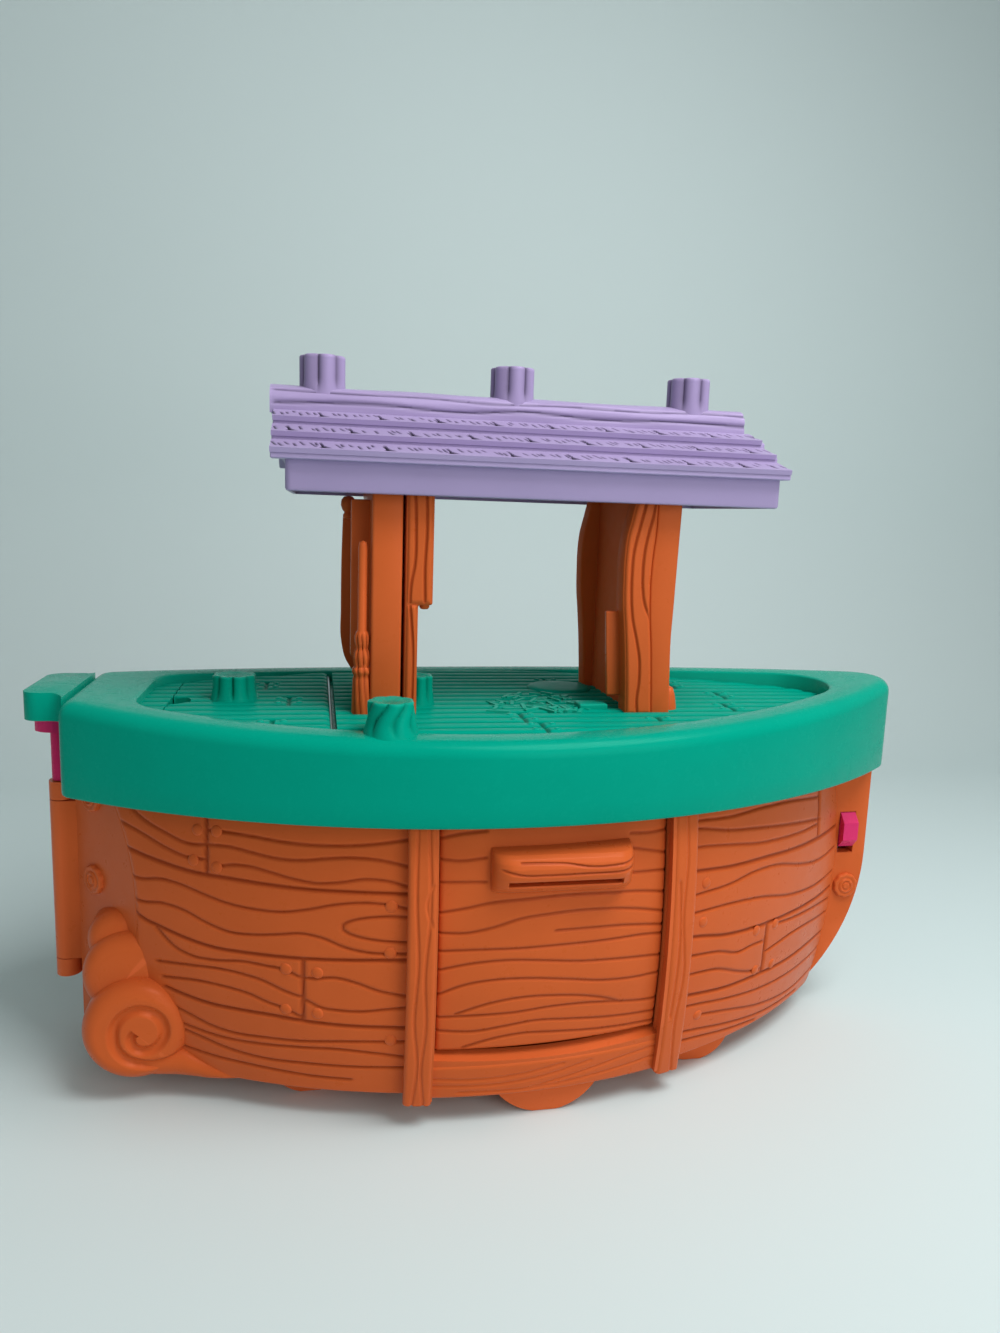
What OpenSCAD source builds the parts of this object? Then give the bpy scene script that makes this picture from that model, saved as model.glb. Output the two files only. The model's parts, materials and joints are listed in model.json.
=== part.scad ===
// Noah's ark toy: a hinged two-part hull with a ramp door, a decked rim,
// a lift-up hatch, and a two-walled cabin under a lift-off shingled roof.
// Millimetres, +X to the bow, +Y to port, +Z up, standing on z = 0.

/* [Deck] */
// Widest section to the tip of the bow
bow_reach = 207.4; // [195:0.2:225]
// Widest section to the end of the stern tongue
tongue_reach = 192.6; // [188:0.2:200]
// Widest section to the stern end of the skirt
transom_reach = 175.6; // [170:0.2:180]
// Breadth over the skirt
deck_breadth = 181.4; // [176:0.2:200]
// Radius of the bow in plan
bow_round = 24; // [14:0.5:30]
// Height of the skirt's lower edge
skirt_low = 130; // [122:0.5:134]
// Height of the planked floor
deck_z = 162.5; // [158:0.5:168]
// Height of the rim above the floor at its lowest point
rim_up = 1; // [0.5:0.1:4]
// Rise of the rim from its lowest point to the bow
bow_rise = 11; // [6:0.5:20]
// Lowest point of the rim, aft of the widest section
sheer_aft = 12; // [0:1:40]
// Radius of the skirt's stern corners
skirt_corner = 7; // [5:0.5:10]
// Width of the flat rim around the floor
rim_w = 17; // [12:0.5:22]
// Radius of the sunken floor's end at the bow
well_bow = 32; // [20:0.5:40]
// Radius of the sunken floor's stern corners
well_corner = 22; // [14:0.5:24]
// Widest section to the aft end of the sunken floor
floor_reach = 148; // [140:1:155]
// Wall thickness of the skirt
skirt_wall = 3; // [2:0.2:4]
// Thickness of the floor and the rim
deck_wall = 3; // [2.4:0.2:4]
// Breadth of the stern tongue
tongue_w = 47.5; // [40:0.5:56]
// Thickness of the stern tongue
tongue_t = 12; // [9:0.5:15]
// Height of the tongue's top above the floor
tongue_up = 8; // [6:0.5:10]
// Radius of the tongue's corners
tongue_round = 7; // [3:0.5:10]

/* [Hatch] */
// Widest section to the hatch's forward edge
hatch_fwd = 67; // [62:0.5:70]
// Length of the hatch
hatch_len = 70; // [60:0.5:76]
// Gap around the hatch
hatch_gap = 0.5; // [0.4:0.05:0.8]
// Gap between the hatch and the ledge below it
hatch_under = 0.3; // [0.3:0.05:0.6]
// Width of the ledge under the hatch's edge
hatch_ledge = 5; // [3:0.5:8]
// Thickness of that ledge
ledge_t = 2.5; // [2:0.1:4]
// Radius of the hatch's hinge pin
hatch_pin_r = 0.75; // [0.5:0.05:0.9]
// Depth that the hinge pin enters the rim at each end
hatch_pin_in = 4; // [3:0.5:6]
// Radius of the finger notch
notch_r = 9; // [6:0.5:12]
// Finger notch to the centre plane
notch_y = 8; // [0:0.5:14]

/* [Stumps] */
// Radius of a moulded tree stump at its top
stump_r = 9.5; // [7:0.25:11]
// Height of a deck stump
stump_h = 14; // [10:0.5:18]
// Flare of a stump's foot
stump_flare = 1.4; // [0:0.1:2]
// Flutes round a stump
stump_flutes = 9; // [6:1:12]
// Radius of one flute
flute_r = 1; // [0.6:0.1:1.4]
// Aft wall's face to the rim stump
stump_fwd = 6; // [0:0.5:12]
// Side of the cabin to the rim stump
stump_out = 34; // [26:0.5:36]
// Half stump at the foot of the aft wall to the centre plane
half_stump_y = 16; // [0:0.5:24]
// Hatch's aft edge to its stump
hatch_stump_in = 26.6; // [22:0.2:40]
// Hatch's stump to the centre plane
hatch_stump_y = 3; // [0:0.5:12]
// Height of the hatch's stump
hatch_stump_h = 12; // [8:0.5:16]

/* [Hull] */
// Breadth of the hull at its fullest height
hull_breadth = 164; // [156:0.5:168]
// Reach of the hull's arcs past its stern plates
hull_reach = 14.1; // [8:0.1:18]
// Height at which the hull is fullest
bulge_z = 80; // [70:1:90]
// Vertical radius of the hull's side
bulge_r = 350; // [280:5:500]
// Height of the hull's flat bottom
hull_low = 12; // [9:0.5:15]
// Wall thickness of the hull
hull_wall = 3; // [2.4:0.1:4]
// Setback of the stem from the tip of the bow
stem_back = 3.6; // [3:0.2:8]
// Gap between the halves at the centre plane
parting_gap = 0.3; // [0.2:0.05:0.6]
// Gap between the swinging half and the skirt above it
swing_gap = 0.6; // [0.5:0.1:1]
// Radius of the forefoot in side view
stem_round = 100; // [80:1:120]
// Height of the forefoot's centre
stem_z = 82; // [74:1:90]
// Thickness of each half's stem plate
stem_t = 4.5; // [3.5:0.1:6]
// Length of the stem plate along the hull
stem_len = 34; // [30:0.5:40]
// Run of the slanted stern plate along the hull
plate_run = 24; // [18:0.5:30]
// Spread of the slanted stern plate across the hull
plate_out = 26; // [20:0.5:32]
// Half breadth of the flat at the stern plate's inner edge
plate_in = 5; // [4:0.25:7]
// Width of a rib
rib_w = 10.5; // [8:0.25:13]
// Height of a rib above the planking
rib_h = 6; // [5.5:0.25:8]
// Height of the sill and the wale above the planking
sill_h = 3; // [1:0.25:4]
// Skirt's lower edge to the rosettes at the stern
rosette_drop = 43; // [30:0.5:60]
// Place of a rosette across the stern plate, as a part of its run
rosette_part = 0.38; // [0.3:0.01:0.5]
// Setback of the rosettes at the bow from the stem
bow_rosette_in = 9.5; // [8:0.5:14]
// Forefoot's centre to the rosettes at the bow
bow_rosette_drop = 18; // [16:0.5:30]
// Radius of a rosette on the end plates
rosette_r = 4.5; // [3:0.25:6]
// Height of a rosette
rosette_h = 1; // [0.5:0.1:1.5]

/* [Scrolls] */
// Radius of the rolled scroll at each quarter
scroll_r = 21; // [18:0.5:23]
// Widest section to the scroll's centre
scroll_aft = 147.5; // [144:0.5:152]
// Height of the scroll's centre
scroll_z = 31.5; // [30:0.5:36]
// Half breadth over the scrolls
scroll_out = 45; // [44:0.5:52]
// Breadth of the scroll's roll
scroll_w = 15; // [12:0.5:20]
// Side of the scroll to its crest
crest_in = 14; // [12:0.5:24]
// Shift of the crest toward the bow
crest_fwd = 4; // [0:0.5:8]
// Height of the scroll's tapered crest
crest_z = 66; // [58:0.5:72]
// Radius of the crest
crest_r = 9.5; // [7:0.5:12]
// Whorls from the roll to the crest
whorls = 3; // [2:1:4]
// Radius of a whorl's edges
whorl_round = 6; // [4:0.25:6]
// Run of the scroll's tail along the bottom
tail_len = 42; // [30:0.5:50]

/* [Feet] */
// Radius of a side foot
foot_r = 26; // [20:0.5:30]
// Radius of an end foot
end_foot_r = 18; // [14:0.5:24]
// Thickness of a foot
foot_t = 9; // [6:0.5:12]
// Depth of the flat under a foot
foot_flat = 0.5; // [0.3:0.1:1]
// Half breadth over the side feet
foot_out = 74; // [66:0.5:75]
// Half breadth over the end feet
end_foot_out = 47; // [38:0.5:50]
// Widest section to the aft foot
foot_aft = 77; // [60:1:90]
// Widest section to the fore foot
foot_fwd = 97; // [80:1:105]

/* [Hinge] */
// Radius of the stern hinge's knuckles
knuckle_r = 5.2; // [4.4:0.1:6]
// Tongue's end to the hinge axis
hinge_in = 8.9; // [7:0.1:10]
// Radius of the hinge pin
pin_r = 2; // [1.6:0.1:2.4]
// Running clearance round a pin
run_clear = 0.06; // [0.03:0.01:0.09]
// Height of the lowest knuckle's foot
knuckle_low = 38; // [34:0.5:42]
// Height of one end knuckle
knuckle_end = 8; // [6:0.5:12]
// Gap between knuckles
knuckle_gap = 0.4; // [0.3:0.05:0.8]
// Gap between the knuckles and the stern plates
stern_gap = 1.2; // [0.8:0.1:2]
// Hull's top edge to the highest knuckle
knuckle_drop = 2; // [1:0.25:4]
// Radius of the hinge pin's upper leg
leg_r = 3.8; // [3:0.1:4.5]
// Thickness of the hinge pin's flange
flange_t = 8; // [5:0.5:10]
// Breadth of the hinge pin's flange
flange_w = 20; // [18:0.5:26]
// Screw in the flange to the centre plane
pin_screw_y = 7.2; // [7:0.1:8]

/* [Ramp door] */
// Widest section to the door's centre
door_fwd = 20; // [16:0.5:23]
// Width of the door opening
door_w = 97.5; // [90:0.5:100]
// Gap at each side of the door
door_gap = 1; // [0.9:0.1:1.4]
// Thickness of the door
door_t = 3; // [2.4:0.1:3.6]
// Height of the door's hinge axis
door_axis_z = 41; // [39:0.5:44]
// Depth of the door's hinge axis behind the planking at the frame
door_axis_in = 3.6; // [3.4:0.1:4]
// Radius of the door's hinge pins
door_pin_r = 1.2; // [0.9:0.1:1.4]
// Radius of the bosses on the door's pins
door_boss_r = 3.2; // [2.8:0.1:3.6]
// Length of a boss
door_boss_len = 8; // [5:0.5:12]
// Setback of a boss from the side of the door
boss_back = 0.5; // [0.4:0.1:1]
// Drop from the hinge axis to the sill
sill_drop = 9; // [8.8:0.1:11]
// Slope of the sill's top, in degrees
sill_slope = 20; // [18:0.5:28]
// Drop from the hinge axis to the door's lower edge
door_foot = 8; // [6:0.25:8.25]
// Depth of the door frame behind the planking
jamb_d = 8; // [6:0.5:12]
// Thickness of the door frame
jamb_t = 3.4; // [3:0.1:5]
// Width of the handle hood
handle_w = 58; // [48:0.5:66]
// Height of the handle hood
handle_h = 19; // [16:0.5:24]
// Reach of the handle hood past the hull's fullest breadth
handle_out = 8.5; // [7:0.5:10]
// Hinge axis to the middle of the handle
handle_up = 73; // [64:0.5:77]
// Wall of the handle hood
handle_wall = 3; // [2.4:0.2:4]
// Radius of the hood's crown
hood_r = 30; // [24:0.5:40]
// Height of the crown's centre above the hood's foot
hood_up = 6.6; // [4:0.2:9]
// Thickness of the ledge at the hood's foot
hood_foot = 2.1; // [1.6:0.1:3]
// Height of the finger slot above that ledge
slot_h = 4.6; // [4.2:0.1:6]

/* [Bow catch] */
// Setback of the catch from the stem
catch_in = 11; // [10:0.25:13]
// Height of the catch's centre
catch_z = 94; // [86:0.5:100]
// Height of the tab at its root
tab_h = 18; // [14:0.5:22]
// Height of the tab at its front
tab_front = 9; // [6:0.5:12]
// Thickness of the tab along the hull
tab_t = 8; // [6:0.5:9]
// Reach of the tab past the hull
tab_out = 4; // [3:0.5:6]
// Stroke of the catch
catch_stroke = 3; // [2:0.25:4]
// Clearance round the catch
catch_gap = 0.4; // [0.3:0.05:0.6]
// Thickness of the catch's base
catch_base = 3; // [2:0.25:4]
// Overlap of the catch's base behind its cover
catch_lap = 2; // [1.5:0.25:3]
// Thickness of the catch's cover
cover_t = 1.8; // [1.4:0.1:2.4]
// Radius of the catch's spring
spring_r = 1.3; // [1:0.05:1.4]
// Depth of the spring's seat below the pocket
spring_seat = 8; // [6:0.5:10]
// Depth of the spring's seat in the catch
spring_in = 6; // [4:0.5:8]

/* [Cabin] */
// Half breadth of the cabin walls
wall_half = 38; // [34:0.5:40]
// Widest section to the aft wall's outer face
aft_wall_x = -53; // [-55:0.5:-51]
// Widest section to the fore wall's outer face
fore_wall_x = 80; // [76:0.5:86]
// Thickness of one wall moulding
board_t = 12.5; // [10:0.25:13]
// Thickness of the aft wall's inner moulding
inner_t = 11.5; // [10:0.25:12]
// Seam between the two mouldings of the aft wall
aft_seam = 1.3; // [0.5:0.1:2]
// Seam between the two mouldings of the fore wall
fore_seam = 0.2; // [0.1:0.1:1]
// Wall thickness of those mouldings
board_wall = 2.5; // [2:0.1:3]
// Height of the cabin walls
wall_h = 99.5; // [90:0.5:106]
// Height of the step in the aft wall's inner moulding
step_h = 47; // [40:0.5:54]
// Depth of that step
step_d = 6; // [4:0.25:7]
// Thickness of the posts at the sides of the fore wall
post_t = 10; // [7:0.5:14]
// Height of the top of the rail on the starboard post
rail_h = 45; // [36:0.5:52]
// Height of that rail's foot
rail_low = 7.5; // [4:0.5:12]
// Depth of that rail
rail_d = 5; // [3:0.5:8]
// Bulge of the posts' aft face
belly_out = 2; // [1:0.25:5]
// Half height of that bulge
belly_half = 43; // [30:0.5:48]
// Height of its fullest part above the floor
belly_up = 55; // [48:0.5:56]
// Depth of the upright board on the aft wall's face
wing_d = 10; // [6:0.5:12]
// Thickness of that board
wing_t = 4; // [3:0.25:6]
// Height of that board's foot
wing_low = 14; // [8:0.5:20]
// Radius of the knob on the aft wall's face
knob_r = 4.5; // [3:0.25:6]
// Height of that knob
knob_h = 7; // [4:0.5:10]
// Knob to the centre plane
knob_y = 22; // [20:0.5:30]
// Radius of the pegs under the aft wall's step
peg_r = 2; // [1.5:0.1:2.5]
// Length of those pegs
peg_h = 2; // [1:0.1:3]
// Side of the aft wall to the broom on its face
broom_in = 8; // [7:0.5:14]
// Radius of the broom's stick
stick_r = 2.6; // [1.6:0.1:3]
// Height of the stick's end above the floor
stick_top = 74; // [60:1:86]
// Radius of the broom's head
broom_r = 6.5; // [5:0.25:7]
// Height of the broom's head
broom_h = 33; // [24:0.5:40]
// Radius of the head where the stick leaves it
neck_r = 3.6; // [3:0.1:4.5]

/* [Roof] */
// Length of the roof cover
roof_len = 214; // [196:1:220]
// Widest section to the roof's middle
roof_fwd = 14.5; // [12:0.5:17]
// Half breadth over the eaves
eave_half = 50.75; // [49:0.25:56]
// Half breadth of the frame under the eaves
frame_half = 46.8; // [45:0.2:48]
// Length of that frame
frame_len = 203.7; // [184:0.5:206]
// Shift of that frame toward the bow
frame_fwd = 2; // [0:0.25:3]
// Height of the frame's side
frame_h = 12; // [10:0.25:15]
// Overlap of the frame over the cabin walls
frame_lap = 8; // [6:0.25:9]
// Wall thickness of the frame and the cover
roof_wall = 2.5; // [2:0.1:3]
// Fit of the frame's guides on the walls
fit_gap = 0.4; // [0.3:0.05:0.8]
// Length of a guide
guide_len = 14; // [8:0.5:20]
// Height of a guide's foot above the frame's lower edge
guide_up = 1; // [0.5:0.1:2]
// Frame's end to the screws that hold it
roof_screw_run = 15.85; // [12:0.05:20]
// Half breadth of the roof's screws
roof_screw_half = 18; // [14:0.5:24]
// Setback of the gable ends
gable_in = 4; // [2:0.5:8]
// Shingle courses on each slope
courses = 3; // [2:1:4]
// Thickness of a course's lower edge
course_t = 2.8; // [2:0.1:3.4]
// Fall of a course's face
course_fall = 4.2; // [3:0.1:5]
// Half breadth of the ridge beam
ridge_half = 11; // [8:0.25:13]
// Height of the ridge beam above the courses
ridge_h = 11; // [8:0.25:14]
// Fore end of the roof to the end of its ridge beam
ridge_back = 4; // [2:0.5:8]
// Bevel along the ridge beam
ridge_bevel = 5; // [1:0.25:6]
// Spacing of the stumps along the ridge
ridge_step = 83; // [70:0.5:86]
// Shift of those stumps toward the stern
ridge_aft = 4; // [0:0.5:6]
// Height of a ridge stump
ridge_stump_h = 13.5; // [10:0.5:18]

/* [Fasteners] */
// Radius of a screw's shank
screw_r = 1.4; // [1:0.1:1.8]
// Clearance round a screw's shank
screw_clear = 0.4; // [0.2:0.05:0.6]
// Radius of a screw's head
screw_head_r = 2.8; // [2.2:0.1:3.4]
// Height of a screw's head
screw_head_h = 1.8; // [1.4:0.1:2.4]
// Depth of thread in a boss
screw_bite = 9; // [6:0.5:12]
// Radius of a screw boss
boss_r = 4; // [3.4:0.1:5]
// Widest section to each of the deck's screws
deck_screw_run = [-52, 25, 110]; // [-56:1:116]
// Gap between a deck boss and the hull's wall
boss_gap = 0.5; // [0.3:0.1:1]
// Height of a deck boss
deck_boss_h = 14; // [12:0.5:18]

/* [Hidden] */
$fn = 48;
arc_fn = 240;
big = 400;
cut = 1;

brown = "#B4552F";
green = "#12937A";
purple = "#9A86BE";
pink = "#CC2F62";
steel = "#B9BCC0";

// Places along the hull
wide_x = (tongue_reach - bow_reach) / 2;
transom_x = wide_x - transom_reach;
tongue_x = wide_x - tongue_reach;
hinge_x = tongue_x + hinge_in;
stern_x = hinge_x + knuckle_r + stern_gap;
stem_x = wide_x + bow_reach - stem_back;
low_x = wide_x - sheer_aft;

// Plan arcs of the deck and the hull, and the sheer arc of the rim
deck_half = deck_breadth / 2;
tip_shift = 0.5;
deck_tip = bow_reach - bow_round - tip_shift;
deck_r = (deck_tip * deck_tip + deck_half * deck_half - bow_round * bow_round)
    / (2 * (deck_half - bow_round));
deck_c = deck_r - deck_half;
hull_half_b = hull_breadth / 2;
hull_run = wide_x - stern_x + hull_reach;
hull_r = (hull_run * hull_run + hull_half_b * hull_half_b) / hull_breadth;
hull_c = hull_r - hull_half_b;
ring_past = 20;
side_in = -hull_half_b / 2;
rim_low = deck_z + rim_up;
sheer_run = bow_reach + sheer_aft;
sheer_r = (sheer_run * sheer_run + bow_rise * bow_rise) / (2 * bow_rise);

// Half breadth of the hull at a place and a height
function hull_y(x, z, inset) =
    sqrt(pow(hull_r - bulge_r + sqrt(pow(bulge_r - inset, 2) - pow(z - bulge_z, 2)), 2)
        - pow(x - wide_x, 2)) - hull_c;

// Heights
floor_under = deck_z - deck_wall;
hull_top = skirt_low - swing_gap;
tongue_low = deck_z + tongue_up - tongue_t;
knuckle_top = hull_top - knuckle_drop;
frame_top = deck_z + wall_h;
frame_low = frame_top - frame_lap;
eave_z = frame_low + frame_h;

// Door and hatch
door_x = wide_x + door_fwd;
door_x0 = door_x - door_w / 2;
door_x1 = door_x + door_w / 2;
sill_top = door_axis_z - sill_drop;
door_aft_y = hull_y(door_x0, door_axis_z, 0);
door_fore_y = hull_y(door_x1, door_axis_z, 0);
door_skew = atan2(door_aft_y - door_fore_y, door_w);
door_axis_y = (door_aft_y + door_fore_y) / 2 - door_axis_in;
hatch_x1 = wide_x - hatch_fwd;
hatch_x0 = hatch_x1 - hatch_len;
hatch_t = deck_wall;
hatch_axis_x = hatch_x1 - hatch_gap - hatch_t / 2;
hatch_axis_z = deck_z - hatch_t / 2;
hatch_half = sqrt(pow(deck_r - rim_w, 2) - pow(hatch_axis_x - wide_x, 2)) - deck_c;

// Bow catch
catch_x = stem_x - catch_in;
catch_face = max(stem_t, hull_y(catch_x - tab_t / 2, catch_z, 0));
block_t = cover_t + catch_base + catch_gap + hull_wall;
pocket_h = tab_h + 2 * catch_lap + catch_stroke + 2 * catch_gap;
pocket_low = catch_z - tab_h / 2 - catch_lap - catch_stroke - catch_gap;
pocket_w = tab_t + 2 * catch_lap + 2 * catch_gap;
spring_low = pocket_low - spring_seat;
spring_top = catch_z - tab_h / 2 - catch_lap + spring_in;

// Cabin and roof
aft_x = wide_x + aft_wall_x;
fore_x = wide_x + fore_wall_x;
step_x = aft_x + board_t + aft_seam + inner_t - step_d;
roof_x = wide_x + roof_fwd;
course_run = (eave_half - ridge_half) / courses;
roof_top = eave_z + courses * (course_fall + course_t);
ridge_z = roof_top + ridge_h;
frame_x0 = roof_x - frame_len / 2 + frame_fwd;
frame_x1 = frame_x0 + frame_len;
roof_screw_at = [
    for (x = [frame_x0 + roof_screw_run, frame_x1 - roof_screw_run])
        for (y = [-roof_screw_half, roof_screw_half])
            [x, y]
];

// Box between two corners
module box(x, y, z) {
    translate([x[0], y[0], z[0]]) cube([x[1] - x[0], y[1] - y[0], z[1] - z[0]]);
}

// Upright rod
module rod_z(x, y, z, r) {
    translate([x, y, z[0]]) cylinder(r = r, h = z[1] - z[0]);
}

// Rod across the hull
module rod_y(x, y, z, r) {
    translate([x, y[1], z]) rotate([90, 0, 0]) cylinder(r = r, h = y[1] - y[0]);
}

// Rod along the hull
module rod_x(x, y, z, r) {
    translate([x[0], y, z]) rotate([0, 90, 0]) cylinder(r = r, h = x[1] - x[0]);
}

// Raised upright plan shape
module prism(z) {
    translate([0, 0, z[0]]) linear_extrude(z[1] - z[0]) children();
}

// Shape drawn in side view, as wide as y
module side(y) {
    translate([0, y[1], 0]) rotate([90, 0, 0]) linear_extrude(y[1] - y[0]) children();
}

// Shape drawn in end view, as long as x
module end_view(x) {
    translate([x[0], 0, 0]) rotate([90, 0, 90]) linear_extrude(x[1] - x[0]) children();
}

// Pan-head screw pointing up from its head's seat
module screw(x, y, z, bite) {
    rod_z(x, y, [z, z + bite], screw_r);
    rod_z(x, y, [z - screw_head_h, z], screw_head_r);
}

// Fluted tree stump
module stump(x, y, z, h) {
    difference() {
        union() {
            rod_z(x, y, [z - 1, z + h], stump_r);
            translate([x, y, z - 1]) cylinder(r1 = stump_r + stump_flare, r2 = stump_r, h = h / 2);
        }
        for (i = [0 : stump_flutes - 1])
            translate([x, y, z]) rotate(i * 360 / stump_flutes)
                rod_z(stump_r + flute_r / 2, 0, [h / 3, h + cut], flute_r);
    }
}

// Plan of the deck, drawn in from the skirt: two long arcs, a round bow and round stern corners
module deck_plan(inset, aft, bow, corner) {
    reach = deck_r - inset;
    bow_run = sqrt(pow(reach - bow, 2) - deck_c * deck_c);
    corner_run = aft + corner - wide_x;
    corner_y = sqrt(pow(reach - corner, 2) - corner_run * corner_run) - deck_c + tip_shift;
    aft_touch = wide_x + corner_run * reach / (reach - corner);
    bow_touch = wide_x + bow_run * reach / (reach - bow);
    intersection() {
        translate([wide_x, deck_c]) circle(reach, $fn = arc_fn);
        translate([wide_x, -deck_c]) circle(reach, $fn = arc_fn);
        union() {
            translate([aft_touch, -big / 2]) square([bow_touch - aft_touch, big]);
            translate([wide_x + bow_run + tip_shift, 0]) circle(bow);
            translate([aft, -corner_y]) square([aft_touch - aft + cut, 2 * corner_y]);
            for (y = [-corner_y, corner_y])
                translate([aft + corner, y]) circle(corner);
        }
    }
}

// Space above the rim's sheer arc
module above_sheer(drop) {
    translate([low_x, 0, rim_low + sheer_r]) rotate([90, 0, 0])
        cylinder(r = sheer_r + drop, h = big, center = true, $fn = 3 * arc_fn);
}

// Plan of the hatch, drawn in from its opening
module hatch_plan(inset) {
    intersection() {
        deck_plan(rim_w + inset, transom_x, well_bow, skirt_corner);
        translate([hatch_x0 + inset, -big / 2]) square([hatch_len - 2 * inset, big]);
    }
}

// Solid ring whose outer face is the hull's barrel-shaped starboard side
module hull_barrel(inset, z) {
    translate([wide_x, hull_c, 0]) rotate_extrude($fn = arc_fn)
        intersection() {
            translate([hull_r - bulge_r, bulge_z]) circle(bulge_r - inset, $fn = 2 * arc_fn);
            translate([hull_c - ring_past, z[0]]) square([big, z[1] - z[0]]);
        }
}

// Plan of the starboard half, bounded by the parting plane and the stern plate
module half_plan(inset, parting) {
    polygon([
        [stern_x + inset, parting],
        [stern_x + inset, -plate_in],
        [stern_x + inset + plate_run * big / 2 / plate_out, -plate_in - big / 2],
        [big, -plate_in - big / 2],
        [big, parting]
    ]);
}

// Side view of the hull's stem and rounded forefoot
module stem_view(inset) {
    translate([stem_x - stem_round, stem_z]) circle(stem_round - inset, $fn = arc_fn);
    translate([-big, stem_z]) square([big + stem_x - inset, big]);
    translate([-big, -big / 2]) square([big + stem_x - stem_round, big]);
}

// Starboard half of the hull as a solid
module hull_solid(inset, z, parting) {
    intersection() {
        hull_barrel(inset, z);
        prism([z[0] - cut, z[1] + cut]) half_plan(inset, parting);
        side([-big, big]) stem_view(inset);
    }
}

// Strip that stands on the starboard planking between two frames
module strip(x, z, up) {
    intersection() {
        hull_barrel(-up, z);
        box(x, [-big, side_in], z);
    }
}

// Round-bottomed foot across the hull
module foot(x, out, r) {
    intersection() {
        rod_y(x, [-out, foot_t - out], r - foot_flat, r);
        box([-big, big], [-big, big], [0, hull_low + hull_wall / 2]);
    }
}

// Round-edged drum of a scroll, with its axis across the hull
module whorl(x, y, z, r) {
    inner = r - whorl_round;
    translate([x, y, z]) rotate([-90, 0, 0]) rotate_extrude() {
        square([inner, scroll_w]);
        translate([0, whorl_round]) square([r, scroll_w - 2 * whorl_round]);
        for (w = [whorl_round, scroll_w - whorl_round])
            translate([inner, w]) intersection() {
                circle(whorl_round);
                translate([0, -whorl_round]) square(2 * whorl_round);
            }
    }
}

// Rolled scroll at the quarter: whorls that shrink toward the crest, and a tail under the hull
module scroll() {
    x0 = wide_x - scroll_aft;
    for (i = [0 : whorls - 1]) {
        part = i / (whorls - 1);
        whorl(
            x0 + part * (crest_r + crest_fwd - scroll_r),
            part * crest_in - scroll_out,
            scroll_z + part * (crest_z - scroll_z),
            scroll_r + part * (crest_r - scroll_r)
        );
    }
    side([whorl_round - scroll_out, scroll_w - scroll_out])
        polygon([
            [x0, scroll_z - scroll_r],
            [x0 + tail_len, hull_low],
            [x0 + tail_len, hull_low + hull_wall],
            [x0, scroll_z]
        ]);
}

// Stem plate of one half
module stem_plate(thick) {
    intersection() {
        side([-thick, -parting_gap / 2]) stem_view(0);
        box([stem_x - stem_len, stem_x], [-big, big], [hull_low, hull_top]);
    }
}

// Rosette on the slanted stern plate
module plate_rosette(z) {
    along = atan2(plate_out, plate_run);
    translate([stern_x + plate_run * rosette_part, -plate_in - plate_out * rosette_part, z])
        rotate([0, 0, -along]) rotate([90, 0, 0])
            cylinder(r = rosette_r, h = 2 * rosette_h, center = true);
}

// Half hull with what both halves share, drawn for starboard
module hull_half(top) {
    difference() {
        union() {
            hull_solid(0, [hull_low, top], -parting_gap / 2);
            stem_plate(stem_t);
            scroll();
            for (x = [door_x0 - rib_w, door_x1])
                strip([x, x + rib_w], [hull_low, hull_top], rib_h);
            foot(door_x, foot_out, foot_r);
            foot(wide_x - foot_aft, end_foot_out, end_foot_r);
            foot(wide_x + foot_fwd, end_foot_out, end_foot_r);
            plate_rosette(skirt_low - rosette_drop);
            rod_y(
                stem_x - bow_rosette_in,
                [-stem_t - rosette_h, -stem_t + cut],
                stem_z - bow_rosette_drop,
                rosette_r
            );
        }
        hull_solid(hull_wall, [hull_low + hull_wall, top + cut], cut);
    }
}

// Knuckle of the stern hinge with the web that joins it to a half's stern plate
module knuckle(z, hand) {
    rod_z(hinge_x, 0, z, knuckle_r);
    y0 = hand * parting_gap / 2;
    y1 = hand * knuckle_r;
    box([hinge_x, stern_x + hull_wall], [min(y0, y1), max(y0, y1)], z);
}

// Bore for the hinge pin
module hinge_bore() {
    rod_z(hinge_x, 0, [0, skirt_low], pin_r + run_clear);
}

// Heights of the three knuckles
knuckle_lower = [knuckle_low, knuckle_low + knuckle_end];
knuckle_upper = [knuckle_top - knuckle_end, knuckle_top];
knuckle_mid = [knuckle_lower[1] + knuckle_gap, knuckle_upper[0] - knuckle_gap];

// Places of the screws that hold the deck, on lugs inside the port half
deck_screw_x = [for (run = deck_screw_run) wide_x + run];
lug_z = floor_under - deck_boss_h;
function deck_screw_y(x) = hull_y(x, floor_under, hull_wall) - boss_r - boss_gap;

// Fixed half of the hull with the deck's lugs and the catch's block
module port_hull() {
    color(brown) difference() {
        union() {
            mirror([0, 1, 0]) hull_half(floor_under);
            knuckle(knuckle_lower, 1);
            knuckle(knuckle_upper, 1);
            for (x = deck_screw_x)
                intersection() {
                    box(
                        [x - boss_r, x + boss_r],
                        [deck_screw_y(x) - boss_r, big],
                        [lug_z - hull_wall, lug_z]
                    );
                    mirror([0, 1, 0]) hull_solid(hull_wall / 2, [hull_low, floor_under], 0);
                }
            box(
                [catch_x - pocket_w / 2 - hull_wall, catch_x + pocket_w / 2 + hull_wall],
                [parting_gap / 2, parting_gap / 2 + block_t],
                [spring_low - hull_wall, pocket_low + pocket_h + hull_wall]
            );
        }
        hinge_bore();
        for (x = deck_screw_x)
            rod_z(x, deck_screw_y(x), [lug_z - 2 * hull_wall, lug_z + cut], screw_r + screw_clear);
        prism([floor_under - ledge_t - fit_gap, floor_under + cut]) hatch_plan(-hatch_ledge - fit_gap);
        box([-big, transom_x + skirt_wall + fit_gap], [-big, big], [hull_top, big]);
        catch_pocket();
    }
}

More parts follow.
